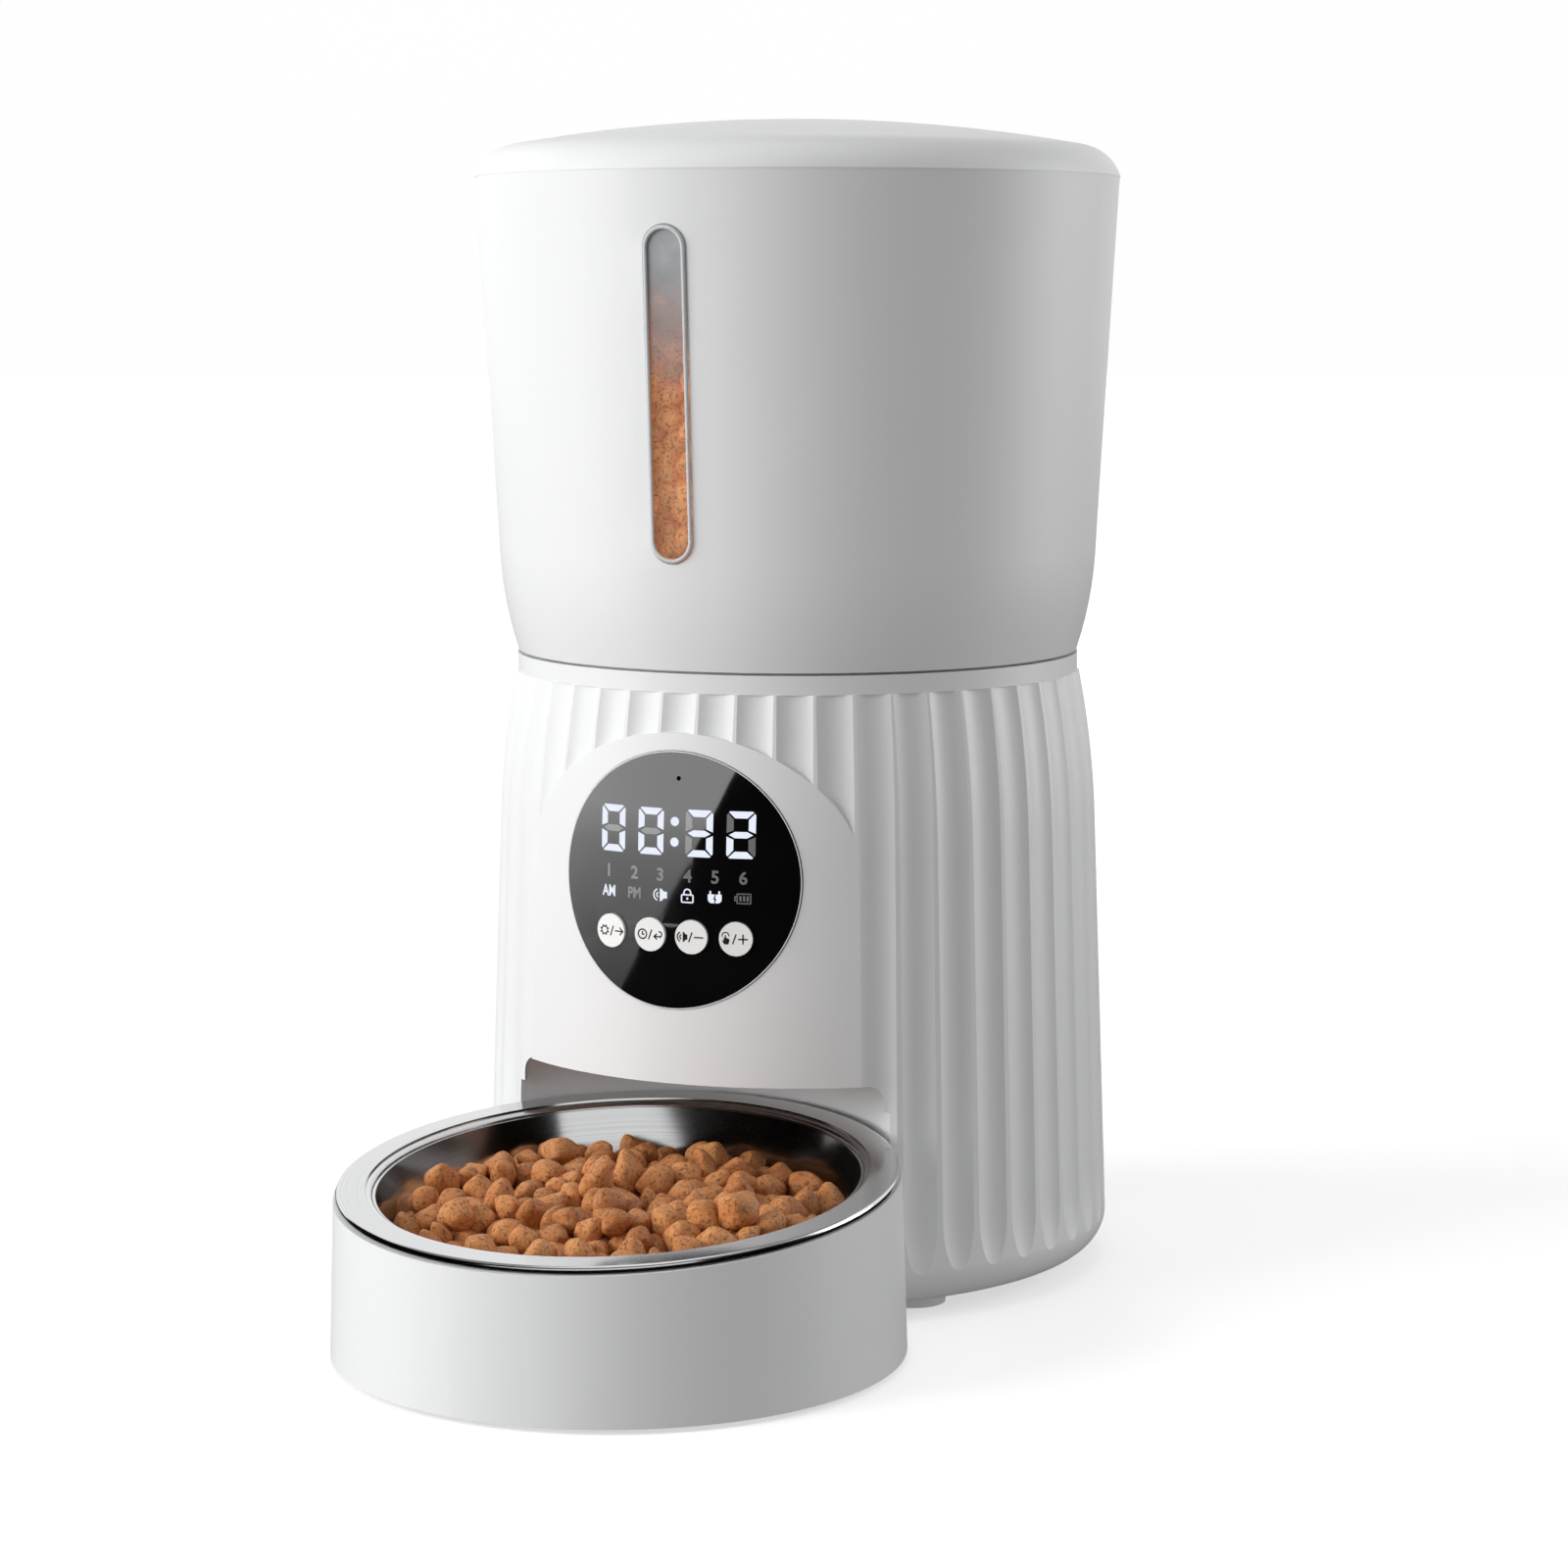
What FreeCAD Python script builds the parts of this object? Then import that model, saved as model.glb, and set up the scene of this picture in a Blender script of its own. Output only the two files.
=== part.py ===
import FreeCAD, Part
import Sketcher
import math
import os
import re

# Automatic pet feeder. The base, hopper and lid are bodies of revolution about one upright body
# axis; the bowl tray is a round tub in front of it. X is to the right, Y to the back, Z is up and
# the origin is on the floor under the middle of the whole feeder.

DOC = FreeCAD.newDocument("pet_feeder")
V = FreeCAD.Vector
SHEET_NAME = "dims"

# Driving dimensions in millimetres, radii from the piece's own axis, heights from the floor.
DIMENSIONS = {
    # the two upright axes
    "axis_y": 57.75, "tray_y": -74.25,
    # base shell: outline of the ridge tops, then the wall
    "under_z": 4.0, "base_foot_r": 87.0, "base_low_r": 98.5, "base_low_z": 15.5,
    "base_mid_r": 94.0, "base_mid_z": 142.0, "base_top_r": 88.6, "base_top_z": 187.5,
    "base_wall": 2.4, "cover_r": 84.0, "cover_thick": 2.4,
    # flutes and the smooth arched front
    "flute_count": 48, "flute_depth": 1.4, "flute_round": 12.3, "flute_fade_round": 80.0,
    "flute_fade_z": 30.0, "panel_half_width": 54.0, "panel_spring_z": 133.0, "panel_rise": 43.0,
    # mouth above the bowl and the hollow that the tray docks into
    "mouth_half_width": 59.5, "mouth_top_z": 72.0, "mouth_corner": 5.0,
    "dock_r": 84.3, "dock_wall_thick": 2.0, "dock_cut_z": 64.0, "roof_thick": 2.0,
    # display and buttons
    "display_z": 132.5, "display_r": 38.4, "display_gap": 0.15, "lens_proud": 0.25,
    "lens_thick": 2.2, "mic_x": 1.4, "mic_z": 162.8, "mic_hole_r": 0.7,
    "button_z": 116.2, "button_r": 5.05, "button_gap": 0.2, "button_proud": 0.8,
    "button_flange_r": 5.9, "button_back_r": 88.9, "button_face_r": 95.1,
    "keypad_out_r": 88.1, "keypad_in_r": 86.4,
    "board_face": 81.5, "board_thick": 1.6, "display_board_r": 34.0, "digits_front": 86.6,
    # neck band, base deck and rotor well
    "band_r": 88.0, "band_in_r": 84.8, "band_top_z": 193.2, "deck_top_z": 190.0,
    "well_r": 63.5, "well_wall_r": 65.5, "well_under_z": 162.0, "well_floor_z": 164.5,
    # hopper shell
    "hopper_low_r": 87.8, "hopper_low_z": 194.0, "hopper_mid_r": 93.4, "hopper_mid_z": 224.0,
    "hopper_top_r": 99.8, "hopper_top_z": 340.0, "hopper_wall": 2.2, "hopper_lip_r": 76.0,
    # level window
    "window_low_z": 225.7, "window_high_z": 324.3, "window_half_width": 6.9, "bezel_width": 1.3,
    "window_gap": 0.1, "bezel_proud": 0.5,
    # hopper floor, outlet, rotor and stirrer
    "pocket_r": 60.5, "pocket_wall_r": 62.5, "pocket_under_z": 166.0, "pocket_floor_z": 168.5,
    "ring_r": 84.3, "ring_top_z": 194.0, "outlet_in_r": 22.0, "outlet_out_r": 57.0,
    "outlet_angle": 56.0, "outlet_extra": 1.0, "rotor_low_z": 169.3, "rotor_top_z": 186.0,
    "rotor_r": 57.6, "rotor_hub_r": 13.0, "vane_count": 6, "vane_thick": 2.6,
    "stirrer_top_z": 214.0, "stirrer_arm_z": 197.0, "stirrer_arm_r": 50.0,
    "lid_plate_low_z": 190.2, "lid_plate_top_z": 192.4, "lid_plate_angle": 72.0, "wiper_low_z": 186.6,
    # drive
    "shaft_r": 3.0, "shaft_low_z": 130.2, "shaft_top_z": 185.5, "shaft_hole_r": 4.0,
    "gear_module": 0.8, "pinion_teeth": 15, "wheel_teeth": 45, "gear_backlash": 0.12,
    "upper_gear_z": 138.5, "lower_gear_z": 131.0, "gear_thick": 5.5,
    "case_low_z": 126.0, "case_floor_z": 128.0, "case_top_z": 147.0, "case_cover_z": 149.0,
    "case_r": 22.0, "case_wall": 2.0, "case_length": 42.0, "motor_r": 12.0, "motor_low_z": 92.0,
    "pin_r": 1.5, "running_gap": 0.05, "ear_x": 26.0, "ear_r": 4.5,
    # chute
    "chute_half_width": 30.0, "chute_wall": 2.0, "chute_top_z": 162.0,
    # sensors that look across the chute, and the boards
    "sensor_y": 8.0, "sensor_z": 121.0, "sensor_eye_z": 122.5, "main_board_z": 50.0,
    "board_post_x": 36.0, "board_post_y": 22.0,
    # screws, and the holes and bosses they use
    "clear_hole_r": 1.7, "pilot_r": 1.3, "head_thick": 1.6, "boss_r": 4.0, "boss_height": 18.0,
    "cover_screw_r": 1.35, "ring_screw_r": 80.0,
    # battery box
    "battery_half_x": 54.3, "battery_y": 93.0, "battery_half_y": 33.3, "battery_low_z": 6.4,
    "battery_top_z": 44.4, "battery_wall": 1.8, "door_half_x": 49.0, "door_half_y": 29.0,
    # power jack
    "jack_z": 21.5, "jack_r": 3.1, "jack_depth": 9.0, "jack_pin_r": 1.0, "jack_face_y": 95.2,
    # feet
    "foot_r": 10.0, "foot_x": 58.0, "foot_front_y": 11.0, "foot_back_y": 104.0, "pad_r": 5.0,
    "pad_z": 1.5,
    # bowl tray and bowl: the tray's rim plane leans down to the front
    "tray_r": 83.5, "tray_top_r": 81.6, "tray_wall": 2.2, "rim_z": 50.5, "rim_lean": 5.3,
    "rim_land_r": 72.8, "rim_lip_r": 76.0, "rim_lip": 1.2,
    "bowl_r": 81.3, "bowl_edge": 2.3, "bowl_mouth_r": 72.3, "bowl_depth": 37.0, "bowl_base_r": 52.5,
    "bowl_thick": 0.7, "tongue_half_width": 20.0,
    # lid
    "lid_r": 100.0, "lid_low_z": 340.0, "lid_brow_r": 89.0, "lid_brow_z": 349.6, "lid_top_z": 357.5,
    "lid_wall": 2.5, "skirt_r": 95.6, "skirt_wall": 2.2, "skirt_low_z": 331.0, "seal_r": 97.1,
    "box_r": 28.0, "box_low_z": 338.0, "box_top_z": 353.5, "box_wall": 2.0,
}

SHEET = DOC.addObject("Spreadsheet::Sheet", SHEET_NAME)
for row, (word, size) in enumerate(DIMENSIONS.items(), start=1):
    SHEET.set(f"A{row}", word)
    SHEET.set(f"B{row}", str(size))
    SHEET.setAlias(f"B{row}", word)
DOC.recompute()

WORD_PATTERN = re.compile(r"\b(" + "|".join(DIMENSIONS) + r")\b")
NODES = {}


def num(text):
    """The value of a formula in sheet words."""
    return float(SHEET.evalExpression(str(text)))


def bind(thing, prop, text):
    """Ties a property to a formula in sheet words."""
    thing.setExpression(prop, WORD_PATTERN.sub(SHEET_NAME + r".\1", str(text)))


def place(thing, x="0", y="0", z="0", turn=None):
    """Gives a Placement whose position follows the sheet."""
    thing.Placement = FreeCAD.Placement(V(0, 0, 0), turn or FreeCAD.Rotation())
    for letter, text in zip("xyz", (x, y, z)):
        bind(thing, f"Placement.Base.{letter}", text)
    return thing


def node(name, thing):
    """Names a finished piece."""
    thing.Label = name
    NODES[name] = thing
    return thing


ALONG = {"z": FreeCAD.Rotation(), "y": FreeCAD.Rotation(V(1, 0, 0), -90)}


def cylinder(name, radius, length, x="0", y="0", z="0", along="z"):
    rod = DOC.addObject("Part::Cylinder", name)
    bind(rod, "Radius", radius)
    bind(rod, "Height", length)
    return place(rod, x, y, z, ALONG[along])


def box(name, size, x="0", y="0", z="0", turn=None):
    """A block centred on x and y, standing on z."""
    block = DOC.addObject("Part::Box", name)
    for prop, text in zip(("Length", "Width", "Height"), size):
        bind(block, prop, text)
    return place(block, f"({x}) - ({size[0]}) / 2", f"({y}) - ({size[1]}) / 2", z, turn)


def join(name, things):
    group = DOC.addObject("Part::MultiFuse", name)
    group.Shapes = things
    return group


def cut(name, base, tools):
    """The base less one or more tools."""
    result = DOC.addObject("Part::Cut", name)
    result.Base = base
    result.Tool = tools[0] if len(tools) == 1 else join(name + "_tools", tools)
    return result


def common(name, one, other):
    result = DOC.addObject("Part::Common", name)
    result.Base = one
    result.Tool = other
    return result


def gather(name, things):
    """Several separate solids that make one node."""
    group = DOC.addObject("Part::Compound", name)
    group.Links = things
    return group


def origin_plane(body, role):
    return next(f for f in body.Origin.OriginFeatures if f.Role == role)


def draw(sketch, outline):
    """Draws a closed outline, counter-clockwise. Each point is two formulas in sheet words, and a
    third number is the bulge of the arc that reaches it, positive when it swells outwards."""
    points = [V(num(p[0]), num(p[1]), 0) for p in outline]
    ends = []
    for i, start in enumerate(points):
        target = (i + 1) % len(points)
        bulge = outline[target][2] if len(outline[target]) > 2 else 0
        chord = points[target] - start
        if bulge == 0:
            sketch.addGeometry(Part.LineSegment(start, points[target]), False)
            ends.append((1, 2))
            continue
        rise = abs(bulge)
        radius = (chord.Length ** 2 / 4 + rise ** 2) / (2 * rise)
        left = V(-chord.y, chord.x, 0) / chord.Length
        side = 1 if bulge > 0 else -1
        centre = (start + points[target]) / 2 + left * side * (radius - rise)
        first, last = (start, points[target]) if side > 0 else (points[target], start)
        angles = [math.atan2(p.y - centre.y, p.x - centre.x) for p in (first, last)]
        circle = Part.Circle(centre, V(0, 0, 1), radius)
        arc = sketch.addGeometry(Part.ArcOfCircle(circle, angles[0], angles[1]), False)
        sketch.addConstraint(Sketcher.Constraint("Radius", arc, radius))
        ends.append((1, 2) if side > 0 else (2, 1))
    for i, (start, finish) in enumerate(ends):
        following = (i + 1) % len(ends)
        sketch.addConstraint(Sketcher.Constraint("Coincident", i, finish, following, ends[following][0]))
        for kind, text, value in (("DistanceX", outline[i][0], points[i].x),
                                  ("DistanceY", outline[i][1], points[i].y)):
            if abs(value) < 1e-9:
                on_axis = -2 if kind == "DistanceX" else -1
                sketch.addConstraint(Sketcher.Constraint("PointOnObject", i, start, on_axis))
                continue
            where = sketch.addConstraint(Sketcher.Constraint(kind, -1, 1, i, start, value))
            bind(sketch, f"Constraints[{where}]", text)


def turned(name, outline, x="0", y="axis_y", z="0", turn=None):
    """A body of revolution about its own upright axis, from an outline of radius and height."""
    body = DOC.addObject("PartDesign::Body", name)
    sketch = body.newObject("Sketcher::SketchObject", name + "_outline")
    sketch.AttachmentSupport = [(origin_plane(body, "XZ_Plane"), "")]
    sketch.MapMode = "FlatFace"
    draw(sketch, outline)
    spin = body.newObject("PartDesign::Revolution", name + "_spin")
    spin.Profile = sketch
    spin.ReferenceAxis = (sketch, ["V_Axis"])
    spin.Angle = 360
    body.Tip = spin
    return place(body, x, y, z, turn)


def padded(name, plane, outline, length, x="0", y="0", z="0"):
    """A straight pad of an outline, thickened both ways from its plane."""
    body = DOC.addObject("PartDesign::Body", name)
    sketch = body.newObject("Sketcher::SketchObject", name + "_outline")
    sketch.AttachmentSupport = [(origin_plane(body, plane), "")]
    sketch.MapMode = "FlatFace"
    draw(sketch, outline)
    pad = body.newObject("PartDesign::Pad", name + "_pad")
    pad.Profile = sketch
    pad.SideType = "Symmetric"
    bind(pad, "Length", length)
    body.Tip = pad
    return place(body, x, y, z)


def shaped(name, shape, x="0", y="0", z="0", turn=None):
    """A piece whose shape is worked out here from the sheet's values."""
    thing = DOC.addObject("Part::Feature", name)
    thing.Shape = shape
    return place(thing, x, y, z, turn)


# ---------------------------------------------------------------- the base shell


def base_outline(inset, low_z, top_z):
    """The base's ridge outline moved inwards, as a solid of revolution."""
    return [
        ("0", low_z),
        (f"base_foot_r - {inset} * 0.8", low_z),
        (f"base_low_r - {inset}", "base_low_z", 3.4),
        (f"base_mid_r - {inset}", "base_mid_z"),
        (f"base_top_r - {inset}", top_z, 0.93),
        ("0", top_z),
    ]


def flute_cutter():
    """A round bar that follows the ridge outline from outside, cuts a shallow flute and turns
    outwards near the bottom, where the flute fades."""
    stand_off = num("flute_round - flute_depth")
    low = V(num("base_low_r"), 0, num("base_low_z"))
    mid = V(num("base_mid_r"), 0, num("base_mid_z"))
    top = V(num("base_top_r"), 0, num("base_top_z"))
    slope = (mid - low).normalize()
    outward = V(slope.z, 0, -slope.x)
    fade = num("flute_fade_z")
    start = low + slope * ((fade - low.z) / slope.z) + outward * stand_off
    fade_round = num("flute_fade_round")
    centre = start + outward * fade_round
    sweep = math.radians(17)
    back = math.atan2(slope.x, slope.z)
    runout = [centre + V(-math.cos(a), 0, -math.sin(a)) * fade_round
              for a in (back + sweep, back + sweep / 2)]
    shoulder = mid + outward * stand_off
    chord = top - mid
    lean = math.atan2(-chord.x, chord.z)
    tip_lean = 2 * lean - math.atan2(-slope.x, slope.z)
    tip = top + V(math.cos(tip_lean), 0, math.sin(tip_lean)) * stand_off
    middle = (mid + top) / 2 + V(math.cos(lean), 0, math.sin(lean)) * (stand_off + 0.93)
    end = tip + V(-math.sin(tip_lean), 0, math.cos(tip_lean)) * 4
    path = Part.Wire([
        Part.Arc(runout[0], runout[1], start).toShape(),
        Part.LineSegment(start, shoulder).toShape(),
        Part.Arc(shoulder, middle, tip).toShape(),
        Part.LineSegment(tip, end).toShape(),
    ])
    first = path.Edges[0]
    heading = first.tangentAt(first.FirstParameter)
    ring = Part.Wire([Part.Circle(runout[0], heading, num("flute_round")).toShape()])
    return path.makePipeShell([ring], True, False, 1)


def arch_prism():
    """The smooth front: straight sides up to the springing, then half an ellipse."""
    half = num("panel_half_width")
    spring = num("panel_spring_z")
    deep = V(0, -num("base_low_r") - 30, 0)
    right = V(half, 0, spring)
    left = V(-half, 0, spring)
    ellipse = Part.Ellipse(right, V(0, 0, spring + num("panel_rise")), V(0, 0, spring))
    arc = Part.ArcOfEllipse(ellipse, 0, math.pi).toShape()
    low = -20
    face = Part.Face(Part.Wire([
        arc,
        Part.LineSegment(left, V(left.x, 0, low)).toShape(),
        Part.LineSegment(V(left.x, 0, low), V(right.x, 0, low)).toShape(),
        Part.LineSegment(V(right.x, 0, low), right).toShape(),
    ]))
    return face.extrude(deep)


def all_flutes():
    """Every flute around the base, stopped at the smooth front."""
    count = int(num("flute_count"))
    one = flute_cutter()
    arch = arch_prism()
    bars = []
    for i in range(count):
        bar = one.copy()
        degrees = -90 + 360 / count * i
        bar.rotate(V(0, 0, 0), V(0, 0, 1), degrees)
        from_front = min(i, count - i) * 360 / count
        if from_front < 45:
            bar = bar.cut(arch)
        bars.append(bar)
    return bars


def mouth_prism():
    """The opening above the bowl, with rounded upper corners."""
    bulge = 0.293
    half = "mouth_half_width"
    outline = [
        (f"-{half}", "0"), (half, "0"), (half, "mouth_top_z - mouth_corner"),
        (f"{half} - mouth_corner", "mouth_top_z", bulge * num("mouth_corner")),
        (f"-{half} + mouth_corner", "mouth_top_z"),
        (f"-{half}", "mouth_top_z - mouth_corner", bulge * num("mouth_corner")),
    ]
    return padded("mouth_cut", "XZ_Plane", outline, "90", y="axis_y - 100")


def room_outline(clearance, low_z, top_z):
    """The room inside the base shell, down through the hole that the bottom cover closes."""
    return [
        ("0", low_z), (f"cover_r - {clearance}", low_z),
        (f"cover_r - {clearance}", f"under_z + cover_thick + {clearance}"),
        (f"base_foot_r - 0.6 - {clearance}", f"under_z + cover_thick + {clearance}"),
        (f"base_low_r - base_wall - {clearance}", "base_low_z + 1", 2.6),
        (f"base_mid_r - base_wall - {clearance}", "base_mid_z"),
        (f"base_top_r - base_wall - {clearance}", top_z, 0.93),
        ("0", top_z),
    ]


def base_shell():
    solid = turned("base_solid", base_outline("0", "under_z", "base_top_z"), y="0")
    DOC.recompute()
    fluted = solid.Shape.cut(all_flutes())
    outside = shaped("base_fluted", fluted.Solids[0], y="axis_y")
    inside = turned("base_inside", base_outline("base_wall", "under_z - 1", "base_top_z + 1"))
    drilled = cut("base_hollow", outside, [
        turned("base_room", room_outline("0", "0", "base_top_z + 1")),
        mouth_prism(),
        cylinder("dock_cut", "dock_r", "dock_cut_z", y="tray_y"),
        cylinder("lens_hole", "display_r", "40", y="axis_y - 110", z="display_z", along="y"),
        cylinder("jack_hole", "4.6", "20", y="axis_y + 88", z="jack_z", along="y"),
    ])
    bosses = []
    for i, (x, y) in enumerate(screw_places()):
        post = cylinder(f"shell_boss_{i}", "boss_r", "boss_height", x, y, "under_z + cover_thick")
        hole = cylinder(f"shell_boss_hole_{i}", "cover_screw_r", "boss_height - 2", x, y,
                        "under_z + cover_thick - 1")
        web = DOC.addObject("Part::Box", f"shell_web_{i}")
        bind(web, "Length", "boss_height")
        bind(web, "Width", "2")
        bind(web, "Height", "boss_height")
        angle = math.degrees(math.atan2(y - num("axis_y"), x))
        place(web, x, y, "under_z + cover_thick", FreeCAD.Rotation(V(0, 0, 1), angle))
        bosses.append(cut(f"shell_post_{i}", join(f"shell_rib_{i}", [post, web]), [hole]))
    kept = common("shell_bosses", join("shell_boss_set", bosses), inside)
    node("base_shell", join("base_shell", [drilled, kept]))


def around(radius, centre_y, angles):
    """Places on a circle about an upright axis, angles from the right."""
    reach = num(radius)
    middle = num(centre_y)
    return [(reach * math.cos(math.radians(a)), middle + reach * math.sin(math.radians(a))) for a in angles]


def screw_places():
    """Screws through the bottom cover, clear of the feet and the docking wall."""
    return around("cover_r - 8", "axis_y", (12, 78, 102, 168))


# ---------------------------------------------------------------- docking wall, chute, bottom


def dock_wall():
    """The round wall that the tray backs into, with a slot for the tray's tongue."""
    outer = cylinder("dock_outer", "dock_r + dock_wall_thick", "mouth_top_z + roof_thick - under_z",
                     y="tray_y", z="under_z")
    inner = cylinder("dock_inner", "dock_r", "100", y="tray_y")
    slot = box("tongue_slot", ("2 * tongue_half_width + 1.2", "30", "4.6"), y="tray_y + dock_r", z="6.7")
    room = turned("dock_room", room_outline("0.06", "0", "base_top_z"))
    node("dock_wall", common("dock_wall", cut("dock_ring", outer, [inner, slot]), room))


# Where the speaker sits on the bottom cover, right and back.
SPEAKER = (-68, 52)

# Side view of the duct, distance to the back and height: it drops, then runs forward to the mouth.
CHUTE_INSIDE = [
    ("36", "chute_top_z + 1"), ("-1", "chute_top_z + 1"), ("-15", "106"), ("-15", "92"),
    ("-27", "80"), ("-27", "mouth_top_z - 1"), ("-7", "mouth_top_z - 1"), ("12", "100"),
]
CHUTE_OUTSIDE = [
    ("38.2", "chute_top_z"), ("-3.1", "chute_top_z"), ("-17", "106.5"), ("-17", "92.8"),
    ("-29", "80.8"), ("-29", "mouth_top_z"), ("-5.6", "mouth_top_z"), ("13.8", "99.2"),
]


def chute():
    """A sloping duct from the outlet under the rotor to the mouth, with a roof plate around it."""
    duct = padded("duct_outer", "YZ_Plane", CHUTE_OUTSIDE, "2 * chute_half_width")
    roof = cylinder("roof_disc", "dock_r - 0.05", "roof_thick", y="tray_y", z="mouth_top_z")
    plate = common("roof_plate", roof, turned("roof_room", room_outline("0.06", "0", "base_top_z")))
    room = padded("duct_inner", "YZ_Plane", CHUTE_INSIDE, "2 * (chute_half_width - chute_wall)")
    windows = [box(f"sensor_hole_{side}", ("6", "5", "5"), x=f"{side} * chute_half_width", y="sensor_y",
                   z="sensor_eye_z") for side in (-1, 1)]
    node("chute", cut("chute", join("chute_body", [duct, plate]), [room] + windows))


def bottom_cover():
    """The plate that closes the base from below, with its screws and the rubber feet."""
    disc = cylinder("bottom_disc", "cover_r - 0.1", "cover_thick", y="axis_y", z="under_z")
    holes = [cylinder(f"cover_hole_{i}", "clear_hole_r", "10", x, y, "0")
             for i, (x, y) in enumerate(screw_places())]
    grille = [cylinder("speaker_hole_6", "1.1", "10", SPEAKER[0], SPEAKER[1], "0")]
    for i in range(6):
        angle = i * math.pi / 3
        grille.append(cylinder(f"speaker_hole_{i}", "1.1", "10", SPEAKER[0] + 6 * math.cos(angle),
                               SPEAKER[1] + 6 * math.sin(angle), "0"))
    opening = box("door_opening", ("2 * door_half_x + 0.8", "2 * door_half_y + 0.8", "20"),
                  y="battery_y", z="0")
    slots = [opening, cylinder("dock_clear", "dock_r + dock_wall_thick + 0.1", "20", y="tray_y")]
    node("bottom_cover", cut("bottom_cover", disc, slots + holes + grille))
    screws = []
    for i, (x, y) in enumerate(screw_places()):
        head = cylinder(f"cover_screw_head_{i}", "3", "head_thick", x, y, "under_z - head_thick")
        stem = cylinder(f"cover_screw_stem_{i}", "cover_screw_r", "13", x, y, "under_z - 0.2")
        screws.append(join(f"cover_screw_{i}", [head, stem]))
    node("cover_screws", gather("cover_screws", screws))
    feet = [cylinder(f"foot_{x}_{y}".replace("-", "n"), "foot_r", "under_z", f"{x} * foot_x", y)
            for x in (-1, 1) for y in ("foot_front_y", "foot_back_y")]
    node("rubber_feet", gather("rubber_feet", feet))


def speaker():
    """The buzzer-size speaker that plays the recorded call, over the grille."""
    rim = cylinder("speaker_rim", "11", "3", SPEAKER[0], SPEAKER[1], "under_z + cover_thick")
    magnet = cylinder("speaker_magnet", "7", "5", SPEAKER[0], SPEAKER[1], "under_z + cover_thick + 2")
    node("speaker", join("speaker", [rim, magnet]))


# ---------------------------------------------------------------- display and buttons

# Where each button points, in degrees to the right of the front.
BUTTONS = {"button_settings": -12.4, "button_clock": -4.15, "button_record": 3.9, "button_feed": 12.1}


def radial(name, radius, start, length, degrees, z):
    """A bar that points straight out from the body axis, degrees from the front."""
    rod = DOC.addObject("Part::Cylinder", name)
    bind(rod, "Radius", radius)
    bind(rod, "Height", length)
    angle = math.radians(degrees)
    out = V(math.sin(angle), -math.cos(angle), 0)
    turn = FreeCAD.Rotation(V(0, 0, 1), out)
    return place(rod, f"({start}) * {out.x:.8f}", f"axis_y + ({start}) * {out.y:.8f}", z, turn)


def display():
    """Curved lens, buttons that stand just proud of it, and the boards behind."""
    ring = turned("lens_ring", [
        ("base_low_r + lens_proud - lens_thick", "base_low_z"), ("base_low_r + lens_proud", "base_low_z"),
        ("base_mid_r + lens_proud", "base_mid_z"), ("base_top_r + lens_proud", "base_top_z", 0.93),
        ("base_top_r + lens_proud - lens_thick", "base_top_z"),
        ("base_mid_r + lens_proud - lens_thick", "base_mid_z", -0.93),
    ])
    disc = cylinder("lens_disc", "display_r - display_gap", "60", y="axis_y - 115", z="display_z",
                    along="y")
    holes = [radial(f"{name}_hole", "button_r + button_gap", "60", "60", a, "button_z")
             for name, a in BUTTONS.items()]
    mic = cylinder("lens_mic_hole", "mic_hole_r", "60", "mic_x", "axis_y - 115", "mic_z", "y")
    node("display_lens", cut("display_lens", common("lens_blank", ring, disc), holes + [mic]))
    for name, degrees in BUTTONS.items():
        cap = radial(f"{name}_cap", "button_r", "button_back_r",
                     "button_face_r + button_proud - button_back_r", degrees, "button_z")
        flange = radial(f"{name}_flange", "button_flange_r", "button_back_r", "2", degrees, "button_z")
        node(name, join(name, [cap, flange]))
    sheet_ring = cut("keypad_ring",
                     cylinder("keypad_outer", "keypad_out_r", "18", y="axis_y", z="button_z - 9"),
                     [cylinder("keypad_inner", "keypad_in_r", "40", y="axis_y", z="100")])
    block = box("keypad_block", ("54", "40", "30"), y="axis_y - 95", z="100")
    node("keypad", common("keypad", sheet_ring, block))
    back = "axis_y - board_face"
    board = cylinder("display_board", "display_board_r", "board_thick", y=back, z="display_z", along="y")
    node("display_board", board)
    node("digit_module", box("digit_module", ("54", "digits_front - board_face", "30"),
                             y="axis_y - (digits_front + board_face) / 2", z="126"))
    node("microphone", cylinder("microphone", "3", "6", "mic_x", "axis_y - board_face - 6", "mic_z", "y"))


# ---------------------------------------------------------------- deck, hopper, rotor


def outlet_sector(name, extra, low_z, height):
    """The outlet's shape, a sector of a ring that opens to the front."""
    inner = num(f"outlet_in_r - {extra}")
    outer = num(f"outlet_out_r + {extra}")
    half = math.radians(num("outlet_angle") / 2) + num(extra) / outer
    ends = []
    for radius in (inner, outer):
        ends.append([V(radius * math.sin(a), -radius * math.cos(a), 0) for a in (-half, 0, half)])
    face = Part.Face(Part.Wire([
        Part.Arc(*ends[0]).toShape(),
        Part.LineSegment(ends[0][2], ends[1][2]).toShape(),
        Part.Arc(*reversed(ends[1])).toShape(),
        Part.LineSegment(ends[1][0], ends[0][0]).toShape(),
    ]))
    return shaped(name, face.extrude(V(0, 0, height)), y="axis_y", z=low_z)


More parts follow.
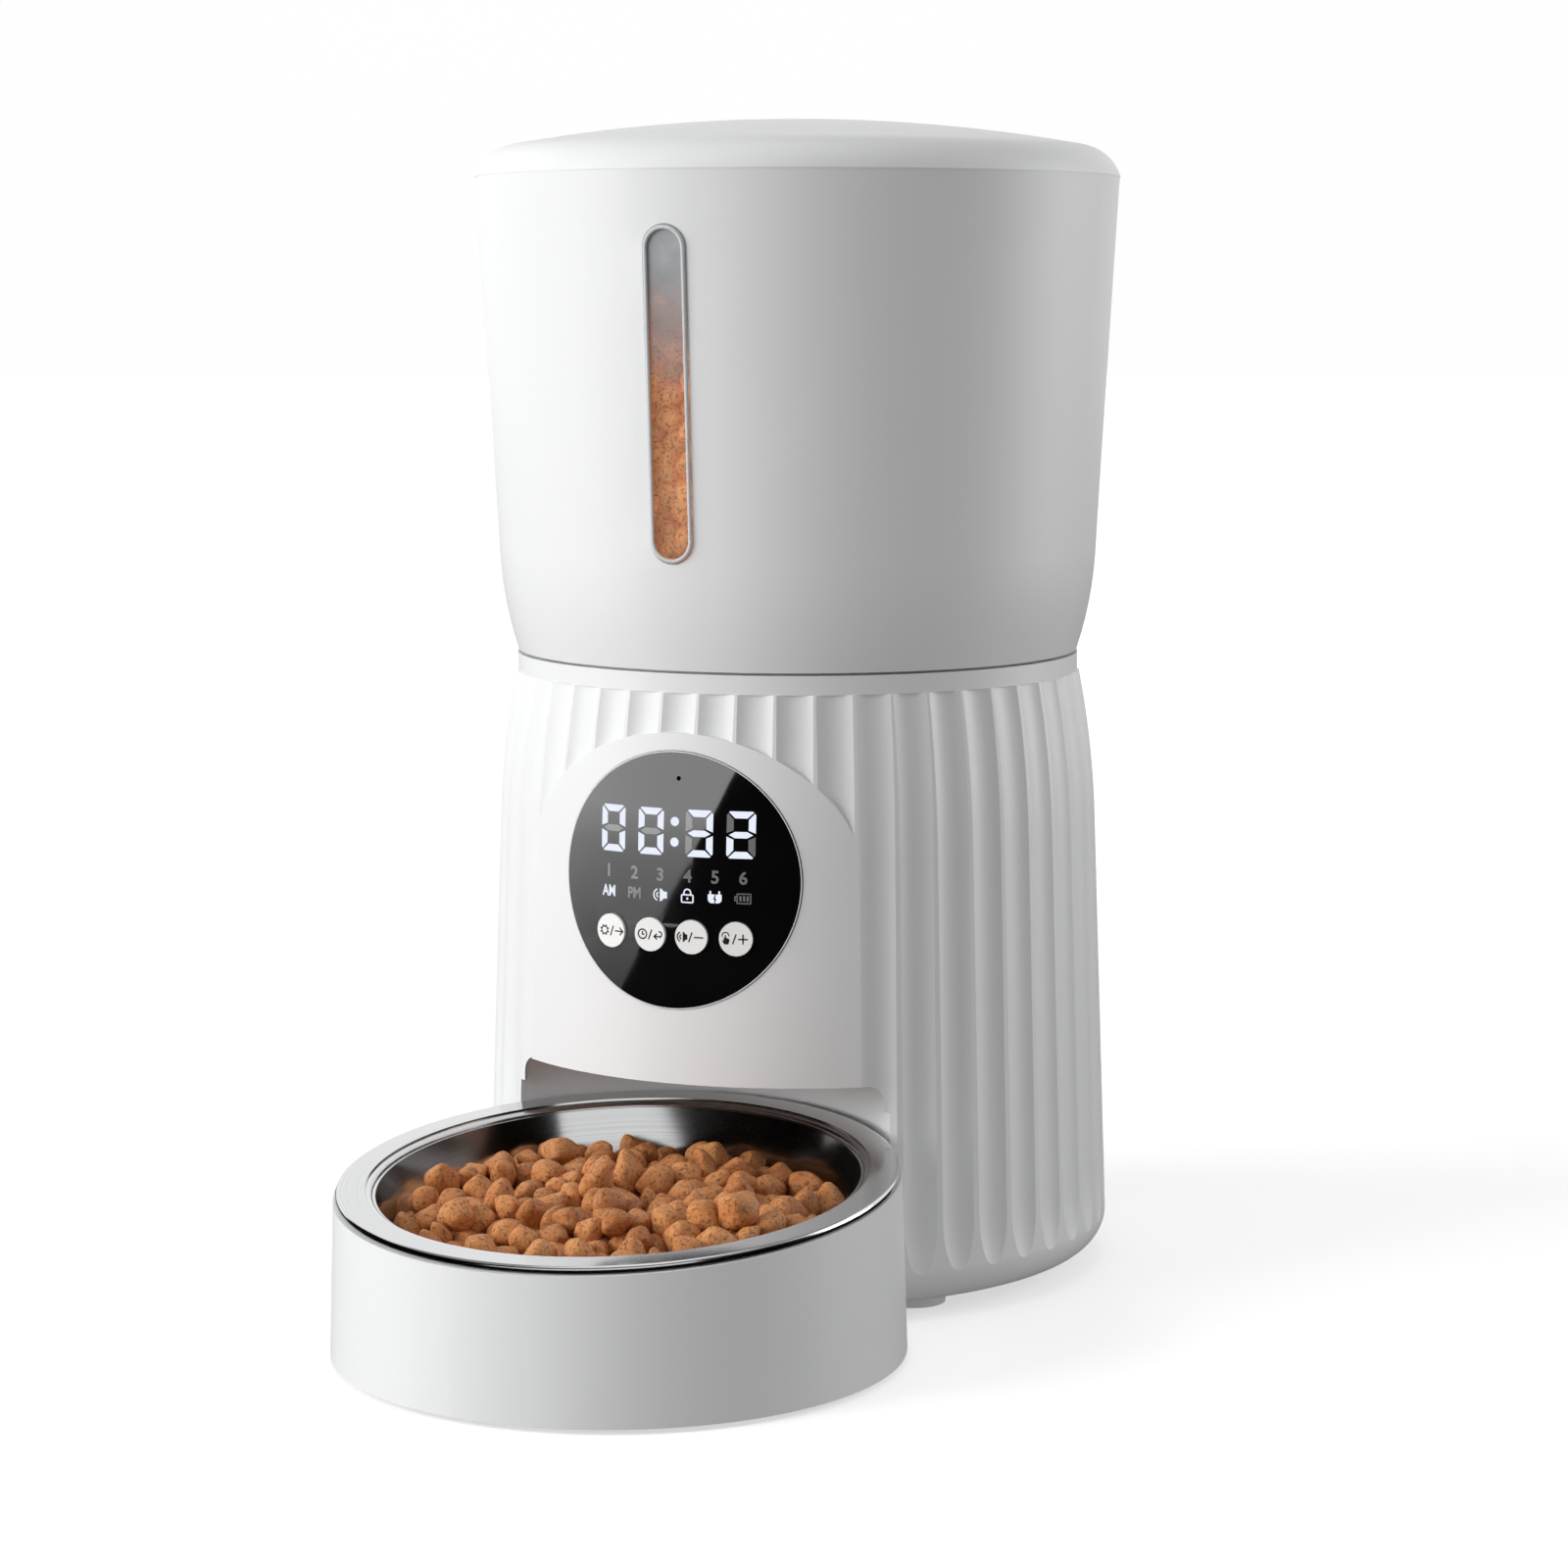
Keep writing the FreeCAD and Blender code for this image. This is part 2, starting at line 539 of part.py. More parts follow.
def base_deck():
    """The neck band, the deck under it and the well that holds the hopper's rotor pocket."""
    solid = turned("deck_solid", [
        ("0", "well_under_z"), ("well_wall_r", "well_under_z"), ("well_wall_r", "base_top_z"),
        ("band_r", "base_top_z"), ("band_r", "band_top_z"), ("band_in_r", "band_top_z"),
        ("band_in_r", "deck_top_z"), ("well_r", "deck_top_z"), ("well_r", "well_floor_z"),
        ("0", "well_floor_z"),
    ])
    bosses = [cylinder(f"deck_boss_{i}", "ear_r", "well_under_z - case_cover_z + 0.5", x, y, "case_cover_z")
              for i, (x, y) in enumerate(ear_places())]
    holes = [cylinder(f"deck_boss_hole_{i}", "pilot_r", "9", x, y, "case_cover_z - 1")
             for i, (x, y) in enumerate(ear_places())]
    shaft = cylinder("deck_shaft_hole", "shaft_hole_r", "20", y="axis_y", z="well_under_z - 5")
    outlet = outlet_sector("deck_outlet", "outlet_extra", "well_under_z - 5", 20)
    node("base_deck", cut("base_deck", join("deck_body", [solid] + bosses), [shaft, outlet] + holes))


def hopper():
    """The tapered hopper shell and the clear window in its front."""
    outer = turned("hopper_turned", [
        ("hopper_lip_r", "hopper_low_z"), ("hopper_low_r", "hopper_low_z"),
        ("hopper_mid_r", "hopper_mid_z", 0.99), ("hopper_top_r", "hopper_top_z"),
        ("hopper_top_r - hopper_wall", "hopper_top_z"), ("hopper_mid_r - hopper_wall", "hopper_mid_z"),
        ("hopper_low_r - hopper_wall + 0.6", "hopper_low_z + hopper_wall", -0.9),
        ("hopper_lip_r", "hopper_low_z + hopper_wall"),
    ])
    slot = stadium("window_slot", "0")
    holes = [cylinder(f"lip_hole_{i}", "pilot_r", "10", x, y, "hopper_low_z - 5")
             for i, (x, y) in enumerate(ring_places())]
    node("hopper_shell", cut("hopper_shell", outer, [slot] + holes))
    window_ring = turned("window_ring", [
        ("hopper_mid_r - hopper_wall - 0.6", "hopper_mid_z - 4"),
        ("hopper_mid_r + bezel_proud", "hopper_mid_z - 4"),
        ("hopper_top_r + bezel_proud", "hopper_top_z"),
        ("hopper_top_r - hopper_wall - 0.6", "hopper_top_z"),
    ])
    pane_cut = cut("pane_cut", stadium("pane_slot", "bezel_width"), [turned("pane_floor", [
        ("0", "hopper_mid_z - 9"), ("hopper_mid_r - 0.3", "hopper_mid_z - 9"),
        ("hopper_top_r - 0.3", "hopper_top_z"), ("0", "hopper_top_z"),
    ])])
    blank = common("window_blank", window_ring, stadium("window_outer", "window_gap"))
    node("level_window", cut("level_window", blank, [pane_cut]))


def stadium(name, inset):
    """An upright slot with round ends, cut straight through the front wall."""
    half = f"window_half_width - {inset}"
    nearly_half_round = num(half) * 0.9999
    outline = [
        (half, "window_low_z + window_half_width", nearly_half_round),
        (half, "window_high_z - window_half_width"),
        (f"-({half})", "window_high_z - window_half_width", nearly_half_round),
        (f"-({half})", "window_low_z + window_half_width"),
    ]
    return padded(name, "XZ_Plane", outline, "40", y="axis_y - 97")


def ring_places():
    """Screws that hold the hopper shell on its floor ring."""
    return around("ring_screw_r", "axis_y", (45, 135, 225, 315))


def hopper_floor():
    """Funnel, rotor pocket with its outlet, and the ring that stands on the base deck."""
    solid = turned("floor_solid", [
        ("0", "pocket_under_z"), ("pocket_wall_r", "pocket_under_z"), ("pocket_wall_r", "deck_top_z"),
        ("ring_r", "deck_top_z"), ("ring_r", "ring_top_z"), ("67", "ring_top_z"),
        ("hopper_mid_r - 5", "ring_top_z + 12.9"), ("hopper_mid_r - 5", "ring_top_z + 15.4"),
        ("pocket_r", "ring_top_z - 1.4"), ("pocket_r", "pocket_floor_z"), ("0", "pocket_floor_z"),
    ])
    shaft = cylinder("floor_shaft_hole", "shaft_hole_r", "20", y="axis_y", z="pocket_under_z - 5")
    outlet = outlet_sector("floor_outlet", "0", "pocket_under_z - 5", 12)
    holes = []
    for i, (x, y) in enumerate(ring_places()):
        holes.append(cylinder(f"ring_hole_{i}", "1.6", "10", x, y, "deck_top_z - 3"))
        holes.append(cylinder(f"ring_bore_{i}", "3", "2.4", x, y, "deck_top_z - 0.4"))
    node("hopper_floor", cut("hopper_floor", solid, [shaft, outlet] + holes))
    screws = []
    for i, (x, y) in enumerate(ring_places()):
        head = cylinder(f"floor_screw_head_{i}", "2.6", "head_thick", x, y, "deck_top_z + 0.4")
        stem = cylinder(f"floor_screw_stem_{i}", "pilot_r", "4.2", x, y, "deck_top_z + 1.8")
        screws.append(join(f"floor_screw_{i}", [head, stem]))
    node("floor_screws", gather("floor_screws", screws))


def sector(name, radius, degrees, low_z, height, inner):
    """A flat piece of a ring, centred on the front."""
    half = degrees / 2
    disc = Part.makeCylinder(radius, height, V(0, 0, 0), V(0, 0, 1), degrees)
    disc.rotate(V(0, 0, 0), V(0, 0, 1), -90 - half)
    return shaped(name, disc.cut(Part.makeCylinder(inner, height)), y="axis_y", z=low_z)


def outlet_cover():
    """A plate over the outlet, so that food reaches it only between the vanes, and two wipers."""
    plate = sector("outlet_plate", num("pocket_r"), num("lid_plate_angle"), "lid_plate_low_z",
                   num("lid_plate_top_z - lid_plate_low_z"), 17)
    node("outlet_cover", plate)
    strips = []
    for side in (-1, 1):
        strip = Part.makeBox(36, 1.6, num("lid_plate_low_z - wiper_low_z"), V(20, -0.8, 0))
        turn = FreeCAD.Rotation(V(0, 0, 1), -90 + side * (num("lid_plate_angle") / 2 - 3))
        strips.append(shaped(f"wiper_{side + 1}", strip, y="axis_y", z="wiper_low_z", turn=turn))
    node("silicone_wipers", gather("silicone_wipers", strips))


def rotor():
    hub = cylinder("rotor_hub", "rotor_hub_r", "rotor_top_z - rotor_low_z", y="axis_y", z="rotor_low_z")
    vanes = []
    count = int(num("vane_count"))
    for i in range(count):
        vane = DOC.addObject("Part::Box", f"vane_{i}")
        bind(vane, "Length", "rotor_r")
        bind(vane, "Width", "vane_thick")
        bind(vane, "Height", "rotor_top_z - rotor_low_z")
        turn = FreeCAD.Rotation(V(0, 0, 1), 360 / count * i)
        start = turn.multVec(V(0, -num("vane_thick") / 2, 0))
        place(vane, f"{start.x:.6f}", f"axis_y + {start.y:.6f}", "rotor_low_z", turn)
        vanes.append(vane)
    trim = cylinder("rotor_trim", "rotor_r - 0.2", "40", y="axis_y", z="rotor_low_z - 5")
    blank = common("rotor_blank", join("rotor_body", [hub] + vanes), trim)
    socket = cylinder("rotor_socket", "shaft_r + running_gap", "shaft_top_z - rotor_low_z + 1.3",
                      y="axis_y", z="rotor_low_z - 1")
    node("rotor", cut("rotor", blank, [socket]))
    cap = turned("stirrer_cap", [
        ("0", "rotor_top_z"), ("9", "rotor_top_z"), ("9", "stirrer_top_z - 6"), ("5", "stirrer_top_z", 1.4),
        ("0", "stirrer_top_z"),
    ])
    arms = []
    for i, degrees in enumerate((30, 150, 270)):
        arm = DOC.addObject("Part::Cylinder", f"stirrer_arm_{i}")
        bind(arm, "Radius", "2.2")
        bind(arm, "Height", "stirrer_arm_r")
        angle = math.radians(degrees)
        arms.append(place(arm, "0", "axis_y", "stirrer_arm_z",
                          FreeCAD.Rotation(V(0, 0, 1), V(math.cos(angle), math.sin(angle), 0))))
        tip_x = num("stirrer_arm_r - 3") * math.cos(angle)
        tip_y = num("axis_y") + num("stirrer_arm_r - 3") * math.sin(angle)
        arms.append(cylinder(f"stirrer_tip_{i}", "2.2", "16", tip_x, tip_y, "stirrer_arm_z"))
    node("stirrer", join("stirrer", [cap] + arms))


# ---------------------------------------------------------------- drive


def ear_places():
    """Screw ears on the gearbox, beside the gears."""
    return [(side * num("ear_x"), num("axis_y") + y) for side in (-1, 1) for y in (8, 34)]


def gear_shape(teeth, thick):
    """A spur gear with involute flanks, one tooth pointing along +X."""
    module = num("gear_module")
    pitch = module * teeth / 2
    base = pitch * math.cos(math.radians(20))
    tip = pitch + 0.95 * module
    root = pitch - 1.25 * module
    half_tooth = math.pi / (2 * teeth) - num("gear_backlash") / (2 * pitch)

    def involute(radius):
        roll = math.sqrt(max(radius ** 2 / base ** 2 - 1, 0))
        return roll - math.atan(roll)

    def flank(side):
        start = max(base, root)
        radii = [start + (tip - start) * k / 4 for k in range(5)]
        angles = [side * (half_tooth + involute(pitch) - involute(r)) for r in radii]
        return [V(r * math.cos(a), r * math.sin(a), 0) for r, a in zip(radii, angles)]

    def polar(radius, angle):
        return V(radius * math.cos(angle), radius * math.sin(angle), 0)

    edges = []
    step = 360 / teeth
    for i in range(teeth):
        turn = FreeCAD.Rotation(V(0, 0, 1), i * step)
        after = FreeCAD.Rotation(V(0, 0, 1), (i + 1) * step)
        rising = [turn.multVec(p) for p in flank(-1)]
        falling = [turn.multVec(p) for p in flank(1)][::-1]
        rising_next = after.multVec(flank(-1)[0])
        tooth_angle = math.radians(i * step)
        space_angle = math.radians((i + 0.5) * step)
        foot = V(falling[-1]).normalize() * root
        foot_next = V(rising_next).normalize() * root
        for points in (rising, falling):
            curve = Part.BSplineCurve()
            curve.interpolate(points)
            edges.append(curve.toShape())
            if points is rising:
                edges.append(Part.Arc(rising[-1], polar(tip, tooth_angle), falling[0]).toShape())
        if base > root:
            edges.append(Part.LineSegment(falling[-1], foot).toShape())
        edges.append(Part.Arc(foot, polar(root, space_angle), foot_next).toShape())
        if base > root:
            edges.append(Part.LineSegment(foot_next, rising_next).toShape())
    return Part.Face(Part.Wire(edges)).extrude(V(0, 0, thick))


def gear(name, teeth, x, y, z, degrees):
    shape = gear_shape(int(num(teeth)), num("gear_thick"))
    return shaped(name, shape, x, y, z, FreeCAD.Rotation(V(0, 0, 1), degrees))


def drive():
    """Motor pinion, idler with a wheel and a pinion, output wheel and the shaft to the rotor."""
    step = "gear_module * (pinion_teeth + wheel_teeth) / 2"
    idler_y = f"axis_y + {step}"
    motor_y = f"axis_y + 2 * {step}"
    wheel = gear("output_wheel", "wheel_teeth", "0", "axis_y", "upper_gear_z", 90)
    bore = cylinder("output_bore", "shaft_r", "30", y="axis_y", z="upper_gear_z - 5")
    node("output_gear", cut("output_gear", wheel, [bore]))
    shaft = cylinder("drive_rod", "shaft_r", "shaft_top_z - shaft_low_z", y="axis_y", z="shaft_low_z")
    node("drive_shaft", shaft)
    idler = join("idler_blank", [
        gear("idler_pinion", "pinion_teeth", "0", idler_y, "upper_gear_z - 1", -90 + 12),
        gear("idler_wheel", "wheel_teeth", "0", idler_y, "lower_gear_z", 90),
        cylinder("idler_hub", "4.5", "upper_gear_z - lower_gear_z - 1", y=idler_y, z="lower_gear_z + 1"),
    ])
    pin_hole = cylinder("idler_bore", "pin_r + running_gap", "40", y=idler_y, z="case_low_z - 5")
    node("idler_gear", cut("idler_gear", idler, [pin_hole]))
    node("idler_pin", cylinder("idler_pin", "pin_r", "case_cover_z - case_low_z - 1.2", y=idler_y,
                               z="case_low_z + 0.6"))
    pinion = gear("pinion_blank", "pinion_teeth", "0", motor_y, "lower_gear_z", -90 + 12)
    spindle = cylinder("motor_spindle", "1.2", "lower_gear_z + gear_thick - case_low_z - 1", y=motor_y,
                       z="case_low_z + 1")
    node("motor_pinion", join("motor_pinion", [pinion, spindle]))


def capsule(name, radius, low_z, height):
    """The gearbox outline: two round ends and straight sides."""
    near = cylinder(name + "_near", radius, height, y="axis_y", z=low_z)
    far = cylinder(name + "_far", radius, height, y="axis_y + case_length", z=low_z)
    middle = box(name + "_middle", (f"2 * ({radius})", "case_length", height),
                 y="axis_y + case_length / 2", z=low_z)
    return join(name, [near, far, middle])


def gearbox():
    """The case that holds the gears, its cover, the screws through both and the motor below."""
    step = "gear_module * (pinion_teeth + wheel_teeth) / 2"
    pin_y = f"axis_y + {step}"
    motor_y = f"axis_y + 2 * {step}"
    ears = [cylinder(f"case_ear_{i}", "ear_r", "case_top_z - case_low_z", x, y, "case_low_z")
            for i, (x, y) in enumerate(ear_places())]
    ear_holes = [cylinder(f"case_ear_hole_{i}", "clear_hole_r", "40", x, y, "case_low_z - 5")
                 for i, (x, y) in enumerate(ear_places())]
    outside = capsule("case_outside", "case_r", "case_low_z", "case_top_z - case_low_z")
    body = join("case_body", [outside] + ears)
    room = capsule("case_inside", "case_r - case_wall", "case_floor_z", "case_top_z")
    pin_hole = cylinder("case_pin_hole", "pin_r", "5", y=pin_y, z="case_low_z + 0.6")
    spindle_hole = cylinder("case_spindle_hole", "2", "10", y=motor_y, z="case_low_z - 5")
    node("gearbox_case", cut("gearbox_case", body, [room, pin_hole, spindle_hole] + ear_holes))
    lid_ears = [cylinder(f"cover_ear_{i}", "ear_r", "case_cover_z - case_top_z", x, y, "case_top_z")
                for i, (x, y) in enumerate(ear_places())]
    cap = capsule("case_cap", "case_r", "case_top_z", "case_cover_z - case_top_z")
    lid = join("case_lid", [cap] + lid_ears)
    lid_holes = [cylinder(f"cover_ear_hole_{i}", "clear_hole_r", "40", x, y, "case_low_z - 5")
                 for i, (x, y) in enumerate(ear_places())]
    lid_holes.append(cylinder("cover_pin_hole", "pin_r", "3.2", y=pin_y, z="case_top_z - 1.8"))
    lid_holes.append(cylinder("cover_shaft_hole", "shaft_r + running_gap", "10", y="axis_y",
                              z="case_top_z - 4"))
    node("gearbox_cover", cut("gearbox_cover", lid, lid_holes))
    screws = []
    for i, (x, y) in enumerate(ear_places()):
        head = cylinder(f"gearbox_screw_head_{i}", "2.8", "head_thick", x, y, "case_low_z - head_thick")
        stem = cylinder(f"gearbox_screw_stem_{i}", "pilot_r", "case_cover_z - case_low_z + 6", x, y,
                        "case_low_z - 0.4")
        screws.append(join(f"gearbox_screw_{i}", [head, stem]))
    node("gearbox_screws", gather("gearbox_screws", screws))
    can = turned("motor_can", [
        ("0", "motor_low_z - 3"), ("3.5", "motor_low_z - 3"), ("3.5", "motor_low_z"),
        ("motor_r", "motor_low_z"), ("motor_r", "case_low_z"), ("2.4", "case_low_z"),
        ("2.4", "case_low_z - 3"), ("0", "case_low_z - 3"),
    ], y=motor_y)
    node("motor", can)


# ---------------------------------------------------------------- boards, battery, jack


def main_board():
    """The main board on four posts above the battery box, with its parts on top."""
    board = box("board_plate", ("84", "54", "board_thick"), y="battery_y - 2", z="main_board_z")
    face = "main_board_z + board_thick - 0.1"
    chips = [
        box("board_chip", ("14", "14", "2"), x="-14", y="battery_y", z=face),
        box("board_connector", ("16", "6", "7"), x="24", y="battery_y - 20", z=face),
        cylinder("board_capacitor", "5", "12", "28", "battery_y + 10", face),
        box("board_relay", ("12", "9", "9"), x="6", y="battery_y + 14", z=face),
    ]
    node("main_board", join("main_board", [board] + chips))


def battery():
    """An upside-down box for three round cells, closed from below by a hinged door."""
    outer = box("battery_outer",
                ("2 * battery_half_x", "2 * battery_half_y", "battery_top_z - battery_low_z"),
                y="battery_y", z="battery_low_z")
    room = ("2 * (battery_half_x - battery_wall)", "2 * (battery_half_y - battery_wall)",
            "battery_top_z - battery_low_z - battery_wall + 1")
    inner = box("battery_inner", room, y="battery_y", z="battery_low_z - 1")
    posts = []
    for x in (-1, 1):
        for y in (-1, 1):
            posts.append(cylinder(f"board_post_{x + 1}_{y + 1}", "3", "main_board_z - battery_top_z + 0.5",
                                  f"{x} * board_post_x", f"battery_y - 2 + {y} * board_post_y",
                                  "battery_top_z - 0.5"))
    node("battery_box", cut("battery_box", join("battery_body", [outer] + posts), [inner]))
    plates = []
    for end in (-1, 1):
        for lane in (-1, 0, 1):
            plates.append(box(f"contact_{end + 1}_{lane + 1}", ("14", "0.8", "20"), x=f"{lane} * 34",
                              y=f"battery_y + {end} * (battery_half_y - battery_wall - 0.4)", z="14"))
    node("battery_contacts", gather("battery_contacts", plates))
    plate = box("door_plate", ("2 * door_half_x", "2 * door_half_y", "cover_thick"),
                y="battery_y", z="under_z")
    lug = box("door_grip", ("14", "2", "1.2"), y="battery_y + door_half_y - 5", z="under_z - 1.2")
    node("battery_door", join("battery_door", [plate, lug]))


def power_jack():
    """A round low-voltage inlet in the back wall, with its centre pin."""
    body = box("jack_block", ("10", "12", "11"), y="axis_y + jack_face_y - 6", z="jack_z - 5.5")
    deep = "axis_y + jack_face_y - jack_depth"
    bore = cylinder("jack_bore", "jack_r", "jack_depth + 1", y=deep, z="jack_z", along="y")
    node("power_jack", cut("power_jack", body, [bore]))
    node("jack_pin", cylinder("jack_pin", "jack_pin_r", "jack_depth - 1", y=deep, z="jack_z", along="y"))


def food_sensors():
    """An infrared emitter and receiver, one on each side of the chute."""
    blocks = [box(f"sensor_{side + 1}", ("5", "7", "8"), x=f"{side} * (chute_half_width + 2.5)",
                  y="sensor_y", z="sensor_z") for side in (-1, 1)]
    node("food_sensors", gather("food_sensors", blocks))


# ---------------------------------------------------------------- tray and bowl

LEAN = FreeCAD.Rotation(V(1, 0, 0), DIMENSIONS["rim_lean"])


def bowl_tray():
    """The white tub: a turned wall cut off at the leaning rim plane, and a rim that carries the bowl."""
    wall = turned("tray_turned", [
        ("tray_r - tray_wall", "pad_z"), ("tray_r", "pad_z"), ("tray_top_r", "rim_z + 12"),
        ("tray_top_r - tray_wall", "rim_z + 12"),
    ], y="tray_y")
    above = DOC.addObject("Part::Box", "above_rim")
    bind(above, "Length", "240")
    bind(above, "Width", "240")
    bind(above, "Height", "60")
    corner = LEAN.multVec(V(-120, -120, 0))
    place(above, f"{corner.x}", f"tray_y + {corner.y:.6f}", f"rim_z + {corner.z:.6f}", LEAN)
    full = turned("tray_full", [("0", "pad_z"), ("tray_r", "pad_z"), ("tray_top_r", "rim_z + 12"),
                                ("0", "rim_z + 12")], y="tray_y")
    rim = turned("tray_rim", [
        ("rim_land_r", "-14"), ("rim_land_r + 2", "-14"), ("rim_land_r + 2", "-tray_wall"),
        ("90", "-tray_wall"), ("90", "0"), ("rim_lip_r", "0"), ("rim_lip_r", "rim_lip"),
        ("rim_land_r", "rim_lip"),
    ], y="tray_y", z="rim_z", turn=LEAN)
    tongue = box("tray_tongue", ("2 * tongue_half_width", "14", "3"), y="tray_y + tray_r + 5", z="7.5")
    rim_land = common("tray_rim_land", rim, full)
    node("bowl_tray", join("bowl_tray", [cut("tray_wall", wall, [above]), rim_land, tongue]))
    disc = cylinder("tray_disc", "tray_r - tray_wall - 0.15", "2", y="tray_y", z="pad_z")
    recess = cylinder("tray_disc_recess", "20", "0.6", y="tray_y", z="pad_z - 0.01")
    node("tray_base", cut("tray_plate", disc, [recess]))
    pads = [cylinder(f"tray_pad_{i}", "pad_r", "pad_z", x, y)
            for i, (x, y) in enumerate(around("tray_r - 13", "tray_y", (45, 135, 225, 315)))]
    node("tray_pads", gather("tray_pads", pads))


def steel_bowl():
    """Pressed steel: a flat ring, a turned-down edge, a steep wall and a flat bottom."""
    bowl = turned("steel_bowl", [
        ("0", "-bowl_depth"), ("bowl_base_r", "-bowl_depth"),
        ("bowl_base_r + 9", "-bowl_depth + 6", 2.2),
        ("bowl_mouth_r - 1.5", "rim_lip - 1.2"), ("bowl_mouth_r", "bowl_edge - bowl_thick", -0.45),
        ("bowl_r - 1.7", "bowl_edge - bowl_thick"), ("bowl_r - bowl_thick", "rim_lip - 0.4", 0.35),
        ("bowl_r - bowl_thick", "0.5"), ("bowl_r", "0.5"), ("bowl_r", "rim_lip"),
        ("bowl_r - 1.5", "bowl_edge", 0.4), ("bowl_mouth_r + 0.3", "bowl_edge"),
        ("bowl_mouth_r - 1.5 - bowl_thick", "rim_lip - 1.2", 0.55),
        ("bowl_base_r + 9 - bowl_thick", "-bowl_depth + 6"),
        ("bowl_base_r - 0.4", "-bowl_depth + bowl_thick", -2.1), ("0", "-bowl_depth + bowl_thick"),
    ], y="tray_y", z="rim_z", turn=LEAN)
    node("steel_bowl", bowl)


# ---------------------------------------------------------------- lid


def lid():
    """A shallow dome, a rounded brow, a skirt inside the hopper's mouth and a seat for the dry bag."""
    rise = num("lid_top_z - lid_brow_z")
    dome_round = (num("lid_brow_r") ** 2 + rise ** 2) / (2 * rise)
    centre_z = num("lid_top_z") - dome_round

    def on_dome(radius, depth, bulge_from=None):
        """A point of the dome, or of the surface a depth below it, with the bulge that reaches it."""
        swing = dome_round - depth
        height = centre_z + math.sqrt(swing ** 2 - radius ** 2)
        if bulge_from is None:
            return (str(radius), f"{height:.9f}")
        other = centre_z + math.sqrt(swing ** 2 - bulge_from ** 2)
        half = math.hypot(radius - bulge_from, height - other) / 2
        sag = swing - math.sqrt(swing ** 2 - half ** 2)
        return (str(radius), f"{height:.9f}", sag if radius < bulge_from else -sag)

    seat_r = num("box_r + 3")
    under_r = num("lid_brow_r - 1")
    wall = num("lid_wall")
    node("lid", turned("lid", [
        ("lid_r", "lid_low_z"), ("lid_brow_r", "lid_brow_z", 2.1), on_dome(0, 0, num("lid_brow_r")),
        ("0", "box_top_z"), (str(seat_r), "box_top_z"), on_dome(seat_r, wall),
        on_dome(under_r, wall, seat_r),
        ("skirt_r - skirt_wall", "lid_brow_z - 6"), ("skirt_r - skirt_wall", "skirt_low_z"),
        ("skirt_r", "skirt_low_z"), ("skirt_r", "lid_low_z"),
    ]))
    node("lid_seal", turned("lid_seal", [
        ("skirt_r", "skirt_low_z + 3"), ("seal_r", "skirt_low_z + 4.5"), ("skirt_r", "skirt_low_z + 6"),
    ]))
    node("desiccant_box", turned("desiccant_box", [
        ("box_r - box_wall", "box_low_z"), ("box_r", "box_low_z"), ("box_r", "box_top_z"),
        ("0", "box_top_z"), ("0", "box_top_z - box_wall"), ("box_r - box_wall", "box_top_z - box_wall"),
    ]))
    disc = turned("desiccant_disc", [
        ("0", "box_low_z - 2"), ("box_r + 1.5", "box_low_z - 2"), ("box_r + 1.5", "box_low_z"),
        ("0", "box_low_z"),
    ])
    slots = []
    for i in range(6):
        slot = DOC.addObject("Part::Box", f"vent_{i}")
        bind(slot, "Length", "14")
        bind(slot, "Width", "2.4")
        bind(slot, "Height", "10")
        turn = FreeCAD.Rotation(V(0, 0, 1), 60 * i)
        start = turn.multVec(V(8, -1.2, 0))
        slots.append(place(slot, f"{start.x:.6f}", f"axis_y + {start.y:.6f}", "box_low_z - 6", turn))
    node("desiccant_cover", cut("desiccant_cover", disc, slots))


base_shell()
dock_wall()
chute()
bottom_cover()
speaker()
display()
base_deck()
hopper()
hopper_floor()
outlet_cover()
rotor()
drive()
gearbox()
main_board()
battery()
power_jack()
food_sensors()
bowl_tray()
steel_bowl()
lid()
DOC.recompute()

for thing in DOC.Objects:
    failed = {"Invalid", "Error"} & set(thing.State)
    if failed:
        raise RuntimeError(f"{thing.Name} did not recompute: {thing.State}")
for name, thing in NODES.items():
    if thing.Shape.isNull() or not thing.Shape.isValid() or thing.Shape.Volume <= 0:
        raise RuntimeError(f"{name} has no valid shape")

os.makedirs("parts", exist_ok=True)
for name, thing in NODES.items():
    thing.Shape.exportStep(f"parts/{name}.step")
    limits = thing.Shape.optimalBoundingBox(False)
    print(f"{name:20s} solids {len(thing.Shape.Solids)} volume {thing.Shape.Volume / 1000:8.2f} cm3"
          f" x {limits.XMin:.1f}..{limits.XMax:.1f} y {limits.YMin:.1f}..{limits.YMax:.1f}"
          f" z {limits.ZMin:.1f}..{limits.ZMax:.1f}")
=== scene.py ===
"""Looks of the automatic pet feeder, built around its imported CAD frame. Lengths are in metres."""
import math

import bmesh
import bpy
import numpy as np
from mathutils import Matrix, Vector
from mathutils.bvhtree import BVHTree


